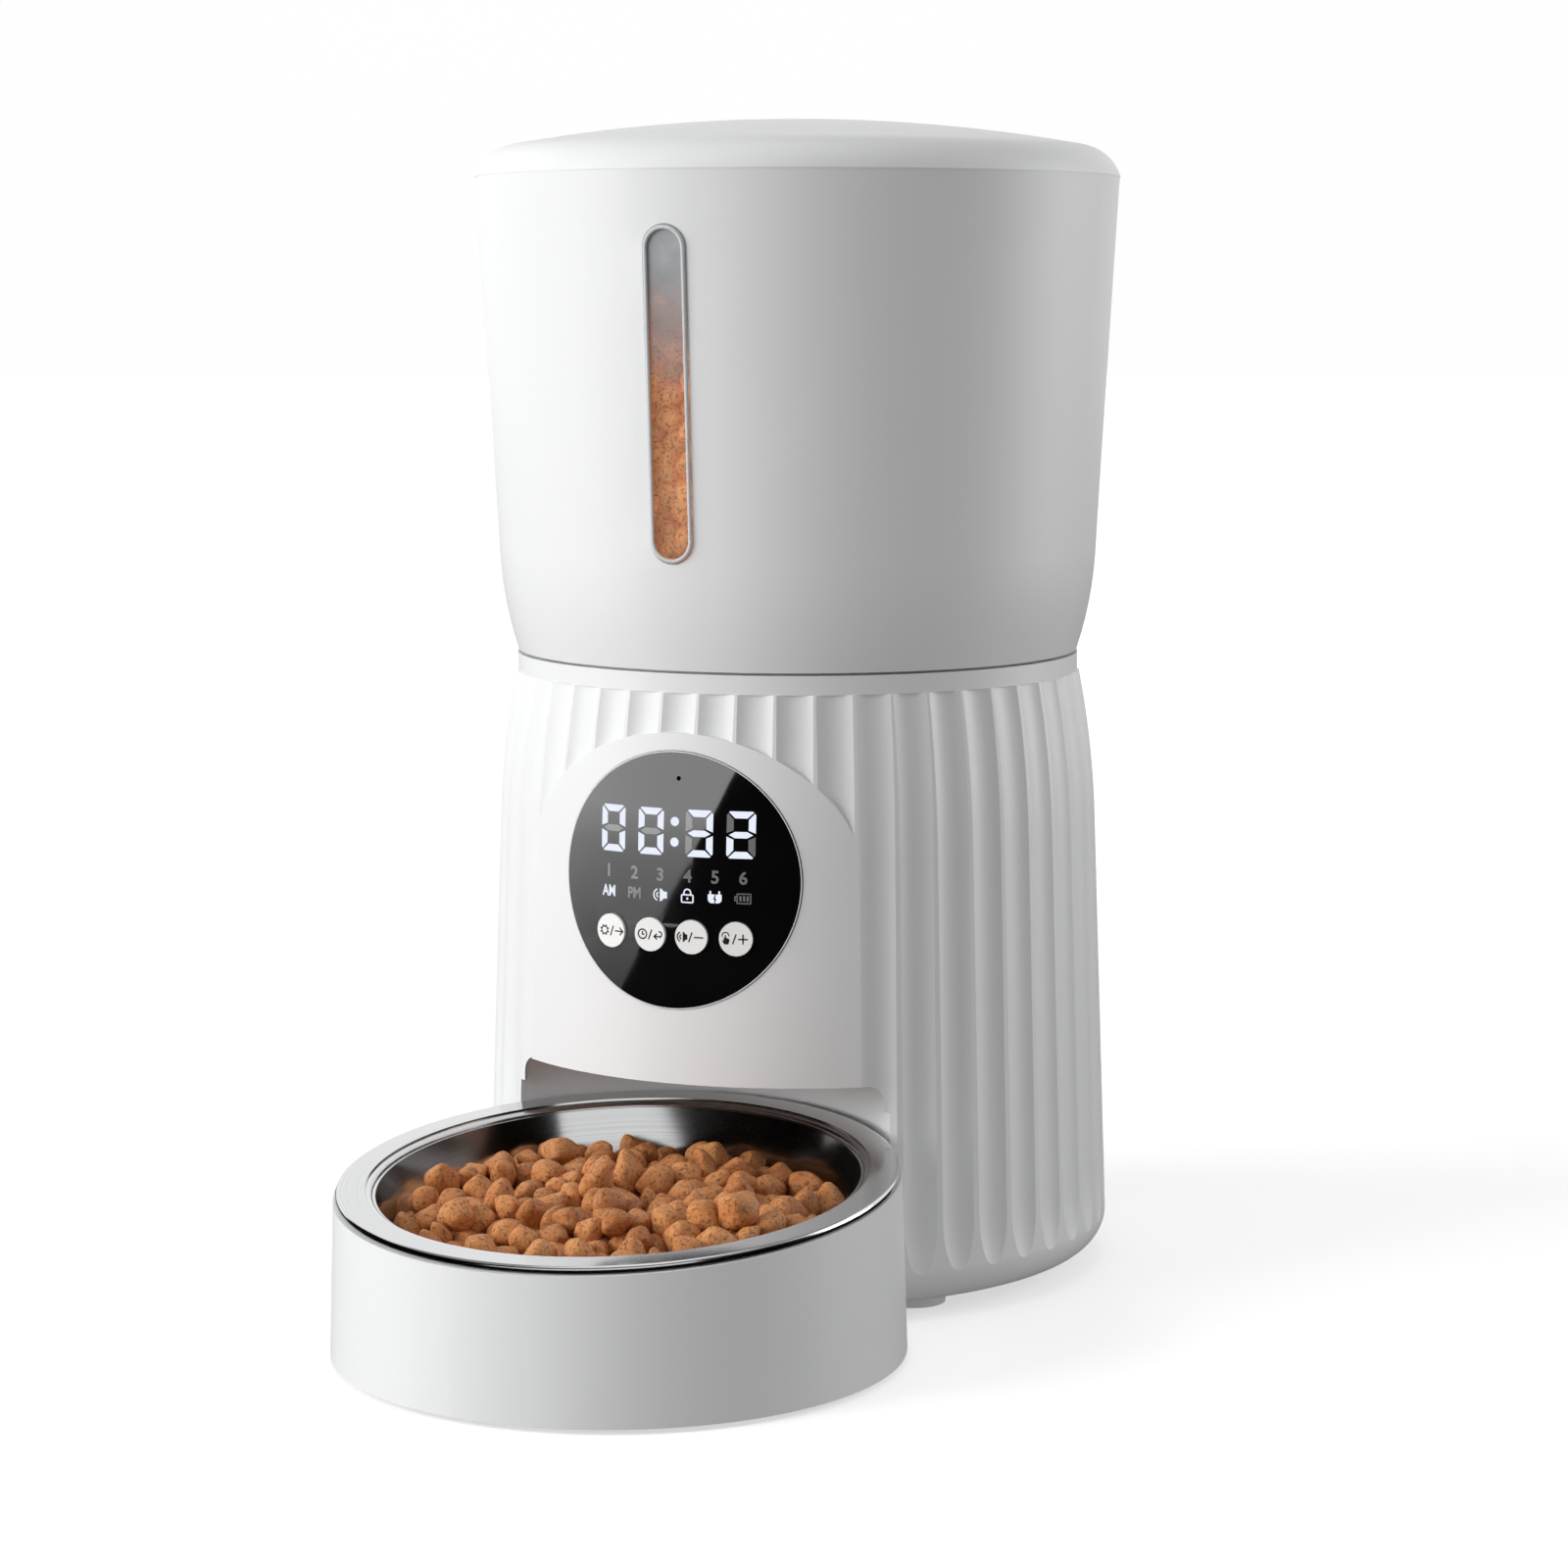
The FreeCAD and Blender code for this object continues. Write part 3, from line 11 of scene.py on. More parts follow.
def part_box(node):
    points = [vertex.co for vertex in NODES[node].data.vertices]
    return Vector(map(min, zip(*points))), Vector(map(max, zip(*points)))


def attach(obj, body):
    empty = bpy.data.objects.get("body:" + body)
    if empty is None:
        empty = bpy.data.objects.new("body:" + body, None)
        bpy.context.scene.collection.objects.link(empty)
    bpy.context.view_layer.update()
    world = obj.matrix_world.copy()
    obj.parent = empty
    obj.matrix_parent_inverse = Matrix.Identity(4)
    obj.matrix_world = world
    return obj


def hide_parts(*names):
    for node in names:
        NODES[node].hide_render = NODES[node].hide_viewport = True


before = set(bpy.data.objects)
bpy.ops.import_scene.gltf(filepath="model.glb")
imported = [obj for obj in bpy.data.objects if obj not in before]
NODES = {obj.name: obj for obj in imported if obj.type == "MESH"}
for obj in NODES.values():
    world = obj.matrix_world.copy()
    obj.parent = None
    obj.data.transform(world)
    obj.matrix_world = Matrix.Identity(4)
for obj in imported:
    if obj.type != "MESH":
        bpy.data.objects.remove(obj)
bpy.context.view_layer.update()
MM = 0.001


def centre_of(name):
    """Middle of a CAD node's box."""
    low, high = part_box(name)
    return (low + high) / 2


# The bowl's rim lies in a plane that leans down to the front, RIM_Z high on the tray's axis.
RIM_LEAN = math.radians(5.3)
RIM_Z = 50.5 * MM
AXIS = centre_of("hopper_shell")
TRAY_AXIS = centre_of("tray_base")
LENS = centre_of("display_lens")
# Radius and height where the hopper's straight cone starts, and its top, in millimetres.
HOPPER_MID_R, HOPPER_MID_Z = 93.4, 224.0
HOPPER_TOP_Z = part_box("hopper_shell")[1].z / MM
FOOD_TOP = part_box("level_window")[1].z - 19 * MM


# ---------------------------------------------------------------- node trees


class Tree:
    """A material's node tree, with short calls to add nodes to it."""

    def __init__(self, name):
        self.material = bpy.data.materials.new(name)
        self.material.use_nodes = True
        self.nodes = self.material.node_tree.nodes
        self.links = self.material.node_tree.links
        self.shader = self.nodes["Principled BSDF"]
        self.place = self.nodes.new("ShaderNodeTexCoord").outputs["Object"]

    def add(self, kind, inputs=None, **settings):
        node = self.nodes.new(kind)
        for word, value in settings.items():
            setattr(node, word, value)
        for word, value in (inputs or {}).items():
            self.put(node.inputs[word], value)
        return node

    def put(self, socket, value):
        if isinstance(value, bpy.types.NodeSocket):
            self.links.new(value, socket)
        else:
            socket.default_value = value

    def noise(self, scale, detail=2.0, roughness=0.5, place=None):
        inputs = {"Vector": place or self.place, "Scale": scale, "Detail": detail, "Roughness": roughness}
        return self.add("ShaderNodeTexNoise", inputs).outputs["Fac"]

    def span(self, value, low, high, from_low=0.0, from_high=1.0):
        """Map a value's range onto low to high."""
        inputs = {"Value": value, "From Min": from_low, "From Max": from_high, "To Min": low, "To Max": high}
        return self.add("ShaderNodeMapRange", inputs).outputs["Result"]

    def mix(self, factor, first, second):
        """Mix two colours, each a socket or four numbers."""
        inputs = {"Factor": factor, "A": first, "B": second}
        return self.add("ShaderNodeMix", inputs, data_type="RGBA").outputs["Result"]

    def height(self):
        return self.add("ShaderNodeSeparateXYZ", {0: self.place}).outputs["Z"]

    def length(self, vector):
        return self.add("ShaderNodeVectorMath", {0: vector}, operation="LENGTH").outputs["Value"]

    def ramp(self, value, stops):
        node = self.add("ShaderNodeValToRGB", {"Fac": value})
        band = node.color_ramp
        while len(band.elements) < len(stops):
            band.elements.new(0.5)
        for element, (position, colour) in zip(band.elements, stops):
            element.position = position
            element.color = (*colour, 1.0)
        return node.outputs["Color"]

    def bump(self, height, distance, strength=1.0, normal=None):
        inputs = {"Height": height, "Distance": distance, "Strength": strength}
        if normal is not None:
            inputs["Normal"] = normal
        return self.add("ShaderNodeBump", inputs).outputs["Normal"]

    def finish(self, **sockets):
        for word, value in sockets.items():
            self.put(self.shader.inputs[word.replace("_", " ")], value)
        return self.material


def shade(colour, factor):
    return tuple(min(1.0, channel * factor) for channel in colour)


def moulded(name, colour, roughness, grain=1500.0, depth=0.006, tone=0.03, **more):
    """Moulded plastic or rubber: a fine spark-eroded grain and a faint change of tone."""
    tree = Tree(name)
    fine = tree.noise(grain, 2.0)
    broad = tree.noise(22.0, 3.0)
    flow = tree.noise(160.0, 2.0)
    base = tree.ramp(broad, [(0.3, shade(colour, 1 - tone)), (0.7, shade(colour, 1 + tone))])
    rough = tree.span(flow, roughness - 0.03, roughness + 0.03)
    normal = tree.bump(fine, depth * MM)
    return tree.finish(Base_Color=base, Roughness=rough, Normal=normal, **more)


def metal(name, colour, roughness, scale=900.0, depth=0.002, spread=0.05):
    """Machined or plated metal with fine random scratches."""
    tree = Tree(name)
    fine = tree.noise(scale, 4.0)
    rough = tree.span(tree.noise(120.0, 3.0), roughness - spread, roughness + spread)
    base = tree.ramp(fine, [(0.3, shade(colour, 0.94)), (0.7, colour)])
    return tree.finish(Base_Color=base, Roughness=rough, Normal=tree.bump(fine, depth * MM), Metallic=1.0)


def spun_steel(name):
    """Polished pressed steel: fine rings round the bowl's own axis, from the polishing wheel."""
    tree = Tree(name)
    centre = (TRAY_AXIS.x, TRAY_AXIS.y, RIM_Z)
    shift = tree.add("ShaderNodeVectorMath", {0: tree.place, 1: centre}, operation="SUBTRACT")
    turn = {"Vector": shift.outputs["Vector"], "Rotation": (-RIM_LEAN, 0.0, 0.0)}
    level = tree.add("ShaderNodeMapping", turn).outputs["Vector"]
    flat = tree.add("ShaderNodeVectorMath", {0: level, 1: (1.0, 1.0, 0.0)}, operation="MULTIPLY")
    reach = tree.length(flat.outputs["Vector"])
    height = tree.add("ShaderNodeSeparateXYZ", {0: level}).outputs["Z"]
    rings = tree.add("ShaderNodeCombineXYZ", {"X": reach, "Y": height}).outputs["Vector"]
    fine = tree.noise(2200.0, 3.0, place=rings)
    base = tree.ramp(fine, [(0.3, (0.60, 0.605, 0.61)), (0.7, (0.70, 0.705, 0.71))])
    rough = tree.span(tree.noise(60.0, 2.0), 0.11, 0.18)
    return tree.finish(Base_Color=base, Roughness=rough, Normal=tree.bump(fine, 0.0002 * MM), Metallic=1.0)


def black_glass(name):
    """Black printed acrylic under a hard gloss face."""
    tree = Tree(name)
    smear = tree.noise(30.0, 4.0)
    base = tree.ramp(smear, [(0.3, (0.0025, 0.0025, 0.003)), (0.7, (0.0045, 0.0045, 0.005))])
    rough = tree.span(smear, 0.03, 0.07)
    normal = tree.bump(tree.noise(40.0, 1.0), 0.002 * MM)
    return tree.finish(Base_Color=base, Roughness=rough, Normal=normal, IOR=1.5)


def clear_window(name):
    """Clear moulded plastic that turns grey and cloudy upward from a little below the food's top."""
    tree = Tree(name)
    # Opacity rises with height across the food's top, so the pane is grey and cloudy above the food and
    # clear in front of it.
    cloud_above_food = tree.span(tree.height(), 0.07, 0.8, FOOD_TOP - 30 * MM, FOOD_TOP + 8 * MM)
    patch = tree.span(tree.noise(260.0, 3.0), 0.85, 1.1)
    alpha = tree.add("ShaderNodeMath", {0: cloud_above_food, 1: patch}, operation="MULTIPLY").outputs["Value"]
    base = tree.ramp(tree.noise(90.0, 2.0), [(0.3, (0.42, 0.43, 0.44)), (0.7, (0.50, 0.51, 0.52))])
    rough = tree.span(tree.noise(200.0, 2.0), 0.04, 0.09)
    return tree.finish(Base_Color=base, Roughness=rough, Alpha=alpha, IOR=1.49,
                       Normal=tree.bump(tree.noise(60.0, 1.0), 0.01 * MM))


def kibble_skin(name, glow=0.0):
    """Baked food: orange brown, dusty, with darker specks and a rough crust. A glow above nought is painted
    light: the food's own colour given off as emission, so it looks more brightly lit than the lamps make it.
    """
    tree = Tree(name)
    tone = tree.add("ShaderNodeAttribute", attribute_name="tone").outputs["Fac"]
    specks = tree.noise(1000.0, 4.0, 0.7)
    patches = tree.noise(190.0, 4.0)
    body = tree.ramp(tone, [(0.0, (0.46, 0.165, 0.048)), (0.5, (0.60, 0.232, 0.070)),
                            (1.0, (0.72, 0.31, 0.105))])
    worn = tree.mix(tree.span(patches, 0.0, 0.4, 0.4, 0.75), body, (0.76, 0.40, 0.18, 1.0))
    coat = tree.mix(tree.span(specks, 0.85, 0.0, 0.36, 0.50), worn, (0.17, 0.058, 0.022, 1.0))
    coarse = tree.bump(tree.noise(380.0, 4.0, 0.6), 0.55 * MM)
    normal = tree.bump(specks, 0.16 * MM, normal=coarse)
    rough = tree.span(patches, 0.52, 0.72)
    # Emission of the food's colour at the glow's strength is painted light, not a lamp.
    return tree.finish(Base_Color=coat, Roughness=rough, Normal=normal, Emission_Color=coat,
                       Emission_Strength=glow)


def lit(name, colour, strength):
    """A lamp behind a printed window in the display."""
    tree = Tree(name)
    spread = tree.ramp(tree.noise(500.0, 2.0), [(0.2, shade(colour, 0.93)), (0.8, colour)])
    return tree.finish(Base_Color=(0.02, 0.02, 0.02, 1.0), Roughness=0.3, Emission_Color=spread,
                       Emission_Strength=strength)


# One fine material for each material slot of the CAD nodes.
MATERIALS = {
    "white_plastic": moulded("white_plastic_fine", (0.80, 0.805, 0.81), 0.42, tone=0.006),
    "grey_plastic": moulded("grey_plastic_fine", (0.42, 0.43, 0.44), 0.5),
    "dark_plastic": moulded("dark_plastic_fine", (0.03, 0.03, 0.032), 0.5, depth=0.012),
    "black_gloss": black_glass("black_gloss_fine"),
    "button_white": moulded("button_white_fine", (0.92, 0.92, 0.91), 0.38, tone=0.01),
    "clear_plastic": clear_window("clear_plastic_fine"),
    "gear_plastic": moulded("gear_plastic_fine", (0.72, 0.70, 0.62), 0.4),
    "board_green": moulded("board_green_fine", (0.02, 0.13, 0.05), 0.35, grain=700.0),
    "silicone": moulded("silicone_fine", (0.55, 0.56, 0.57), 0.6, depth=0.01),
    "pale_rubber": moulded("pale_rubber_fine", (0.72, 0.72, 0.72), 0.75, depth=0.02),
    "bowl_steel": spun_steel("bowl_steel_fine"),
    "shaft_steel": metal("shaft_steel_fine", (0.6, 0.6, 0.61), 0.25),
    "screw_steel": metal("screw_steel_fine", (0.5, 0.5, 0.51), 0.32),
    "plated_metal": metal("plated_metal_fine", (0.66, 0.65, 0.62), 0.3),
}
KIBBLE = kibble_skin("kibble")
# A copy of the food that glows, as painted light, so the grains behind the window look brightly lit.
KIBBLE_PAINTED_LIGHT = kibble_skin("kibble_painted_light", 0.34)
BEAD = moulded("window_bead_gloss", (0.62, 0.635, 0.645), 0.12, depth=0.001, tone=0.02)
INK = moulded("button_ink", (0.015, 0.015, 0.016), 0.45, tone=0.1)
LIT = lit("display_lit", (0.84, 0.89, 1.0), 1.0)
UNLIT = moulded("display_unlit", (0.19, 0.19, 0.195), 0.06, tone=0.08, depth=0.0005)


def dress_cad():
    """Give every CAD node the finer material of its slot."""
    for thing in NODES.values():
        for place in thing.material_slots:
            place.material = MATERIALS[place.material.name.split(".")[0]]


# ---------------------------------------------------------------- flat shapes


def arc(x, z, radius, start, end, steps=16):
    """Points along an arc, in degrees anticlockwise from the right."""
    angles = [math.radians(start + (end - start) * i / steps) for i in range(steps + 1)]
    return [(x + radius * math.cos(a), z + radius * math.sin(a)) for a in angles]


def polygon(points):
    return points, [list(range(len(points)))]


def disc(x, z, radius, steps=24):
    return polygon(arc(x, z, radius, 0, 360 - 360 / steps, steps - 1))


def stroke(points, width, closed=False):
    """A line of even width as a strip of quads with mitred corners."""
    count = len(points)
    left, right = [], []
    for i, point in enumerate(points):
        here = Vector(point)
        before = Vector(points[i - 1]) if i or closed else None
        after = Vector(points[(i + 1) % count]) if i < count - 1 or closed else None
        ways = [(here - before).normalized()] if before else []
        ways += [(after - here).normalized()] if after else []
        sides = [Vector((-w.y, w.x)) for w in ways]
        side = sum(sides, Vector((0, 0))).normalized()
        side *= width / 2 / max(0.4, side.dot(sides[0]))
        left.append(tuple(here + side))
        right.append(tuple(here - side))
    last = count if closed else count - 1
    faces = [[i, (i + 1) % count, count + (i + 1) % count, count + i] for i in range(last)]
    return left + right, faces


def ring(x, z, radius, width, steps=32):
    return stroke(arc(x, z, radius, 0, 360 - 360 / steps, steps - 1), width, closed=True)


def moved(shape, x, z):
    points, faces = shape
    return [(x + px, z + pz) for px, pz in points], faces


def moved_all(shapes, x, z):
    return [moved(shape, x, z) for shape in shapes]


def lettering(text, height, squeeze=1.0, weight=0.0):
    """Figures from the built-in font, centred, of a given height in millimetres."""
    curve = bpy.data.curves.new("figures", "FONT")
    curve.body = text
    curve.offset = weight
    thing = bpy.data.objects.new("figures", curve)
    bpy.context.scene.collection.objects.link(thing)
    bpy.context.view_layer.update()
    mesh = bpy.data.meshes.new_from_object(thing)
    points = [(v.co.x, v.co.y) for v in mesh.vertices]
    faces = [list(p.vertices) for p in mesh.polygons]
    bpy.data.objects.remove(thing)
    bpy.data.curves.remove(curve)
    bpy.data.meshes.remove(mesh)
    xs = [p[0] for p in points]
    zs = [p[1] for p in points]
    size = height / (max(zs) - min(zs))
    mid_x, mid_z = (max(xs) + min(xs)) / 2, (max(zs) + min(zs)) / 2
    return [((x - mid_x) * size * squeeze, (z - mid_z) * size) for x, z in points], faces


def printed(name, shapes, surface, body, material, low=-0.02, high=0.03, step=1.5):
    """Flat shapes in millimetres laid on a curved face as one thin closed piece."""
    mesh = bmesh.new()
    for points, faces in shapes:
        corners = [mesh.verts.new((x, 0.0, z)) for x, z in points]
        for face in faces:
            mesh.faces.new([corners[i] for i in face])
    bmesh.ops.remove_doubles(mesh, verts=mesh.verts, dist=1e-4)
    bmesh.ops.triangulate(mesh, faces=mesh.faces)
    widest = max(abs(v.co.x) for v in mesh.verts)
    for i in range(-int(widest / step), int(widest / step) + 1):
        parts = mesh.verts[:] + mesh.edges[:] + mesh.faces[:]
        bmesh.ops.bisect_plane(mesh, geom=parts, dist=1e-5, plane_co=(i * step, 0, 0), plane_no=(1, 0, 0))
    bmesh.ops.recalc_face_normals(mesh, faces=mesh.faces)
    bottom = mesh.verts[:]
    grown = bmesh.ops.extrude_face_region(mesh, geom=mesh.faces[:])["geom"]
    top = {part for part in grown if isinstance(part, bmesh.types.BMVert)}
    for corner in top:
        corner.co = surface(corner.co.x, corner.co.z, high)
    for corner in bottom:
        if corner not in top:
            corner.co = surface(corner.co.x, corner.co.z, low)
    bmesh.ops.recalc_face_normals(mesh, faces=mesh.faces)
    return piece(name, mesh, body, material)


def piece(name, mesh, body, material, smooth=False):
    """Turn a bmesh into an object that rides on a CAD body."""
    data = bpy.data.meshes.new(name)
    mesh.to_mesh(data)
    mesh.free()
    for face in data.polygons:
        face.use_smooth = smooth
    data.materials.append(material)
    thing = bpy.data.objects.new(name, data)
    bpy.context.scene.collection.objects.link(thing)
    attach(thing, body)
    return thing


# ---------------------------------------------------------------- turned and curved pieces


def curve_points(outline, most=0.5):
    """Points of an outline in millimetres, with its arcs drawn in steps. A point's third number is the
    rise of the arc that reaches it, positive when it bows to the left of the way there."""
    points = [outline[0][:2]]
    for before, entry in zip(outline, outline[1:]):
        if len(entry) == 2:
            points.append(entry)
            continue
        (x0, z0), (x1, z1), bow = before[:2], entry[:2], entry[2]
        long = math.hypot(x1 - x0, z1 - z0)
        half = 2 * math.atan2(2 * abs(bow), long)
        radius = long / 2 / math.sin(half)
        side = 1 if bow > 0 else -1
        across = (-(z1 - z0) / long * side, (x1 - x0) / long * side)
        steps = max(4, int(2 * half * radius / most))
        for i in range(1, steps + 1):
            turn = -half + 2 * half * i / steps
            along = long / 2 + radius * math.sin(turn)
            out = radius * (math.cos(turn) - math.cos(half))
            points.append((x0 + (x1 - x0) / long * along + across[0] * out,
                           z0 + (z1 - z0) / long * along + across[1] * out))
    return points


def turned(name, outline, place, body, material, steps=360, sharp=38):
    """A closed turned piece. Its outline is radius and height in millimetres, once round anticlockwise."""
    mesh = bmesh.new()
    rows = []
    for radius, height in curve_points(outline + [outline[0]])[:-1]:
        if radius < 1e-6:
            rows.append([mesh.verts.new((0.0, 0.0, height * MM))])
            continue
        rows.append([mesh.verts.new((radius * MM * math.cos(a), radius * MM * math.sin(a), height * MM))
                     for a in (2 * math.pi * i / steps for i in range(steps))])
    for low, high in zip(rows, rows[1:] + rows[:1]):
        if len(low) == 1 and len(high) == 1:
            continue
        for i in range(steps):
            j = (i + 1) % steps
            ring_of = [low[i % len(low)], low[j % len(low)], high[j % len(high)], high[i % len(high)]]
            mesh.faces.new(list(dict.fromkeys(ring_of)))
    bmesh.ops.recalc_face_normals(mesh, faces=mesh.faces)
    bmesh.ops.transform(mesh, matrix=place, verts=mesh.verts)
    for edge in mesh.edges:
        if len(edge.link_faces) == 2 and edge.calc_face_angle() > math.radians(sharp):
            edge.smooth = False
    return piece(name, mesh, body, material, smooth=True)


def leaned():
    """Where the bowl's rim plane lies: on the tray's axis, leaning down to the front."""
    return Matrix.Translation((TRAY_AXIS.x, TRAY_AXIS.y, RIM_Z)) @ Matrix.Rotation(RIM_LEAN, 4, "X")


def steel_bowl():
    """Pressed bowl: flat base, steep polished wall, flat flange with a rounded, turned-down edge."""
    outside = [(0, -37), (50.5, -37), (59.5, -31, -2.4), (70.7, 0.2), (72.4, 1.6, 0.45), (79.4, 1.6),
               (80.6, 0.5, 0.3), (81.3, 0.5), (81.3, 1.1), (80.1, 2.3, -0.45)]
    inside = [(72.9, 2.3), (70.0, 0.2, 0.75), (58.8, -31), (50.3, -36.3, 2.3), (0, -36.3)]
    bowl = turned("steel_bowl_polished", outside + inside, leaned(), "bowl",
                  MATERIALS["bowl_steel"])
    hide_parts("steel_bowl")
    return bowl


def on_window(x, z, depth):
    """A place on the hopper's cone in front of the level window, in millimetres, raised by depth."""
    low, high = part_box("hopper_shell")
    top_r = (high.x - low.x) / 2 / MM
    rise = (z - HOPPER_MID_Z) / (HOPPER_TOP_Z - HOPPER_MID_Z)
    radius = HOPPER_MID_R + (top_r - HOPPER_MID_R) * rise + depth + 0.35
    return Vector((x * MM, AXIS.y - math.sqrt(radius ** 2 - x ** 2) * MM, z * MM))


def window_bead():
    """The polished bead round the level window, lying on the hopper's face."""
    low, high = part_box("level_window")
    half, bead, sides = (high.x - low.x) / MM / 2 - 0.75, 0.62, 12
    bottom, top = low.z / MM + half + 0.9, high.z / MM - half - 0.9
    path = arc(0, top, half, 0, 180, 24) + arc(0, bottom, half, 180, 360, 24)
    angles = [2 * math.pi * k / sides for k in range(sides)]
    mesh = bmesh.new()
    rows = []
    for x, z in path:
        out = Vector((x, z - min(max(z, bottom), top))).normalized() * bead
        rows.append([mesh.verts.new(on_window(x + out.x * math.cos(a), z + out.y * math.cos(a),
                                              bead * math.sin(a) * 0.9)) for a in angles])
    for one, two in zip(rows, rows[1:] + rows[:1]):
        for k in range(sides):
            mesh.faces.new([one[k], one[(k + 1) % sides], two[(k + 1) % sides], two[k]])
    bmesh.ops.recalc_face_normals(mesh, faces=mesh.faces)
    return piece("window_bead", mesh, "hopper", BEAD, smooth=True)


# ---------------------------------------------------------------- faces that take a print


def tree_of(name):
    """A CAD node's faces, ready for rays to be cast at them."""
    data = NODES[name].data
    return BVHTree.FromPolygons([v.co for v in data.vertices], [p.vertices for p in data.polygons])


LENS_TREE = tree_of("display_lens")


def on_lens(x, z, depth):
    """The place on the display's face at x and height z, in millimetres, raised by depth."""
    start = Vector((x * MM, AXIS.y - 150 * MM, z * MM))
    hit = LENS_TREE.ray_cast(start, Vector((0, 1, 0)))[0]
    spot = hit if hit is not None else LENS_TREE.find_nearest(start)[0]
    return Vector((spot.x if hit is None else start.x, spot.y - depth * MM, start.z))


def on_button(name):
    """A mapping from a button's own flat co-ordinates to its front face."""
    middle = centre_of(name)
    way = Vector((middle.x - AXIS.x, middle.y - AXIS.y, 0)).normalized()
    side = Vector((-way.y, way.x, 0))
    face = tree_of(name).ray_cast(Vector((AXIS.x, AXIS.y, middle.z)) + way * 150 * MM, -way)[0]

    def spot(x, z, depth):
        return face + side * x * MM + Vector((0, 0, z * MM)) + way * depth * MM

    return spot


# ---------------------------------------------------------------- display


# Millimetres, from the display's middle and the floor. DIGITS gives each digit's left side.
DIGIT_WIDE, DIGIT_TALL, BAR = 8.5, 13.9, 2.05
DIGIT_LOW = 139.9
DIGITS = {-24.65: "0", -11.5: "0", 4.1: "3", 16.7: "2"}
LIT_BARS = {"0": "abcdef", "3": "abcdg", "2": "abdeg"}
COLUMNS = (-21.9, -12.7, -4.0, 4.9, 13.4, 21.8)
NUMBERS_Z = 134.2
ICONS_Z = 128.1
LINE = 0.42


def bars():
    """The seven bars of a digit, lettered clockwise from the top with g across the middle."""
    w, h, t = DIGIT_WIDE, DIGIT_TALL, BAR
    mid, half, gap = h / 2, BAR * 0.46, 0.42
    top = [(0.95, h), (w - 0.95, h), (w - 0.62, h - 0.3), (w - t - gap, h - t), (t + gap, h - t),
           (0.62, h - 0.3)]
    upright = [(0, mid + gap + 0.1), (t, mid + half + gap), (t, h - t - gap), (0.36, h - 0.62), (0, h - 1.1)]
    middle = [(0.7, mid), (t + gap, mid + half), (w - t - gap, mid + half), (w - 0.7, mid),
              (w - t - gap, mid - half), (t + gap, mid - half)]

    def flipped(points, across, over):
        return [(w - x if across else x, h - z if over else z) for x, z in points]

    return {"a": top, "f": upright, "b": flipped(upright, True, False), "e": flipped(upright, False, True),
            "c": flipped(upright, True, True), "d": flipped(top, False, True), "g": middle}


def speaker_icon():
    cone = [(0.0, -1.85), (0.45, -1.85), (1.35, -1.0), (2.35, -1.0), (2.35, 1.0), (1.35, 1.0), (0.45, 1.85),
            (0.0, 1.85)]
    waves = [stroke(arc(-0.25, 0, radius, 110, 250), LINE) for radius in (1.75, 0.75)]
    return [polygon(cone)] + waves


def padlock_icon():
    body = arc(-1.45, -1.4, 0.35, 180, 270, 4) + arc(1.45, -1.4, 0.35, 270, 360, 4)
    body += arc(1.45, 0.15, 0.35, 0, 90, 4) + arc(-1.45, 0.15, 0.35, 90, 180, 4)
    shackle = [(-1.05, 0.6)] + arc(0, 1.1, 1.05, 180, 0) + [(1.05, 0.6)]
    return [stroke(body, LINE, closed=True), stroke(shackle, LINE), disc(0, -0.6, 0.34)]


def plug_icon():
    """A plug with two pins, split by a flash."""
    cup = [(-2.1, 1.0), (-2.1, -0.4)] + arc(-0.9, -0.4, 1.2, 180, 270, 6)
    left_half = cup + [(-0.15, -1.6), (-0.05, -0.55), (-0.5, -0.45), (0.1, 1.0)]
    right_half = [(-x, z) for x, z in cup] + [(0.1, -1.6), (0.5, -0.25), (0.05, -0.15), (0.4, 1.0)]
    pins = [stroke([(x, 0.9), (x, 2.0)], 0.5) for x in (-1.35, 1.35)]
    return [polygon(left_half), polygon(right_half)] + pins


def battery_icon():
    case = stroke([(-1.7, -1.4), (2.2, -1.4), (2.2, 1.4), (-1.7, 1.4)], 0.34, closed=True)
    tip = stroke([(-1.87, 0.6), (-2.35, 0.6), (-2.35, -0.6), (-1.87, -0.6)], 0.34)
    charge = [stroke([(x, -0.8), (x, 0.8)], 0.62) for x in (-0.75, 0.3, 1.35)]
    return [case, tip] + charge


def display_shapes():
    """Everything behind the display's face: shapes that glow and shapes that don't."""
    bright, dim = [], []
    for left, figure in DIGITS.items():
        for letter, outline in bars().items():
            target = bright if letter in LIT_BARS[figure] else dim
            target.append(moved(polygon(outline), left, DIGIT_LOW))
    bright += [disc(0.6, DIGIT_LOW + z, 1.35) for z in (10.2, 4.1)]
    for i, x in enumerate(COLUMNS):
        dim.append(moved(lettering(str(i + 1), 3.9, weight=0.025), x, NUMBERS_Z))
    bright.append(moved(lettering("AM", 3.4, 0.72, 0.028), COLUMNS[0], ICONS_Z))
    dim.append(moved(lettering("PM", 3.4, 0.78, 0.028), COLUMNS[1], ICONS_Z))
    bright += moved_all(speaker_icon(), COLUMNS[2], ICONS_Z)
    bright += moved_all(padlock_icon(), COLUMNS[3], ICONS_Z)
    bright += moved_all(plug_icon(), COLUMNS[4], ICONS_Z)
    dim += moved_all(battery_icon(), COLUMNS[5], ICONS_Z)
    return bright, dim


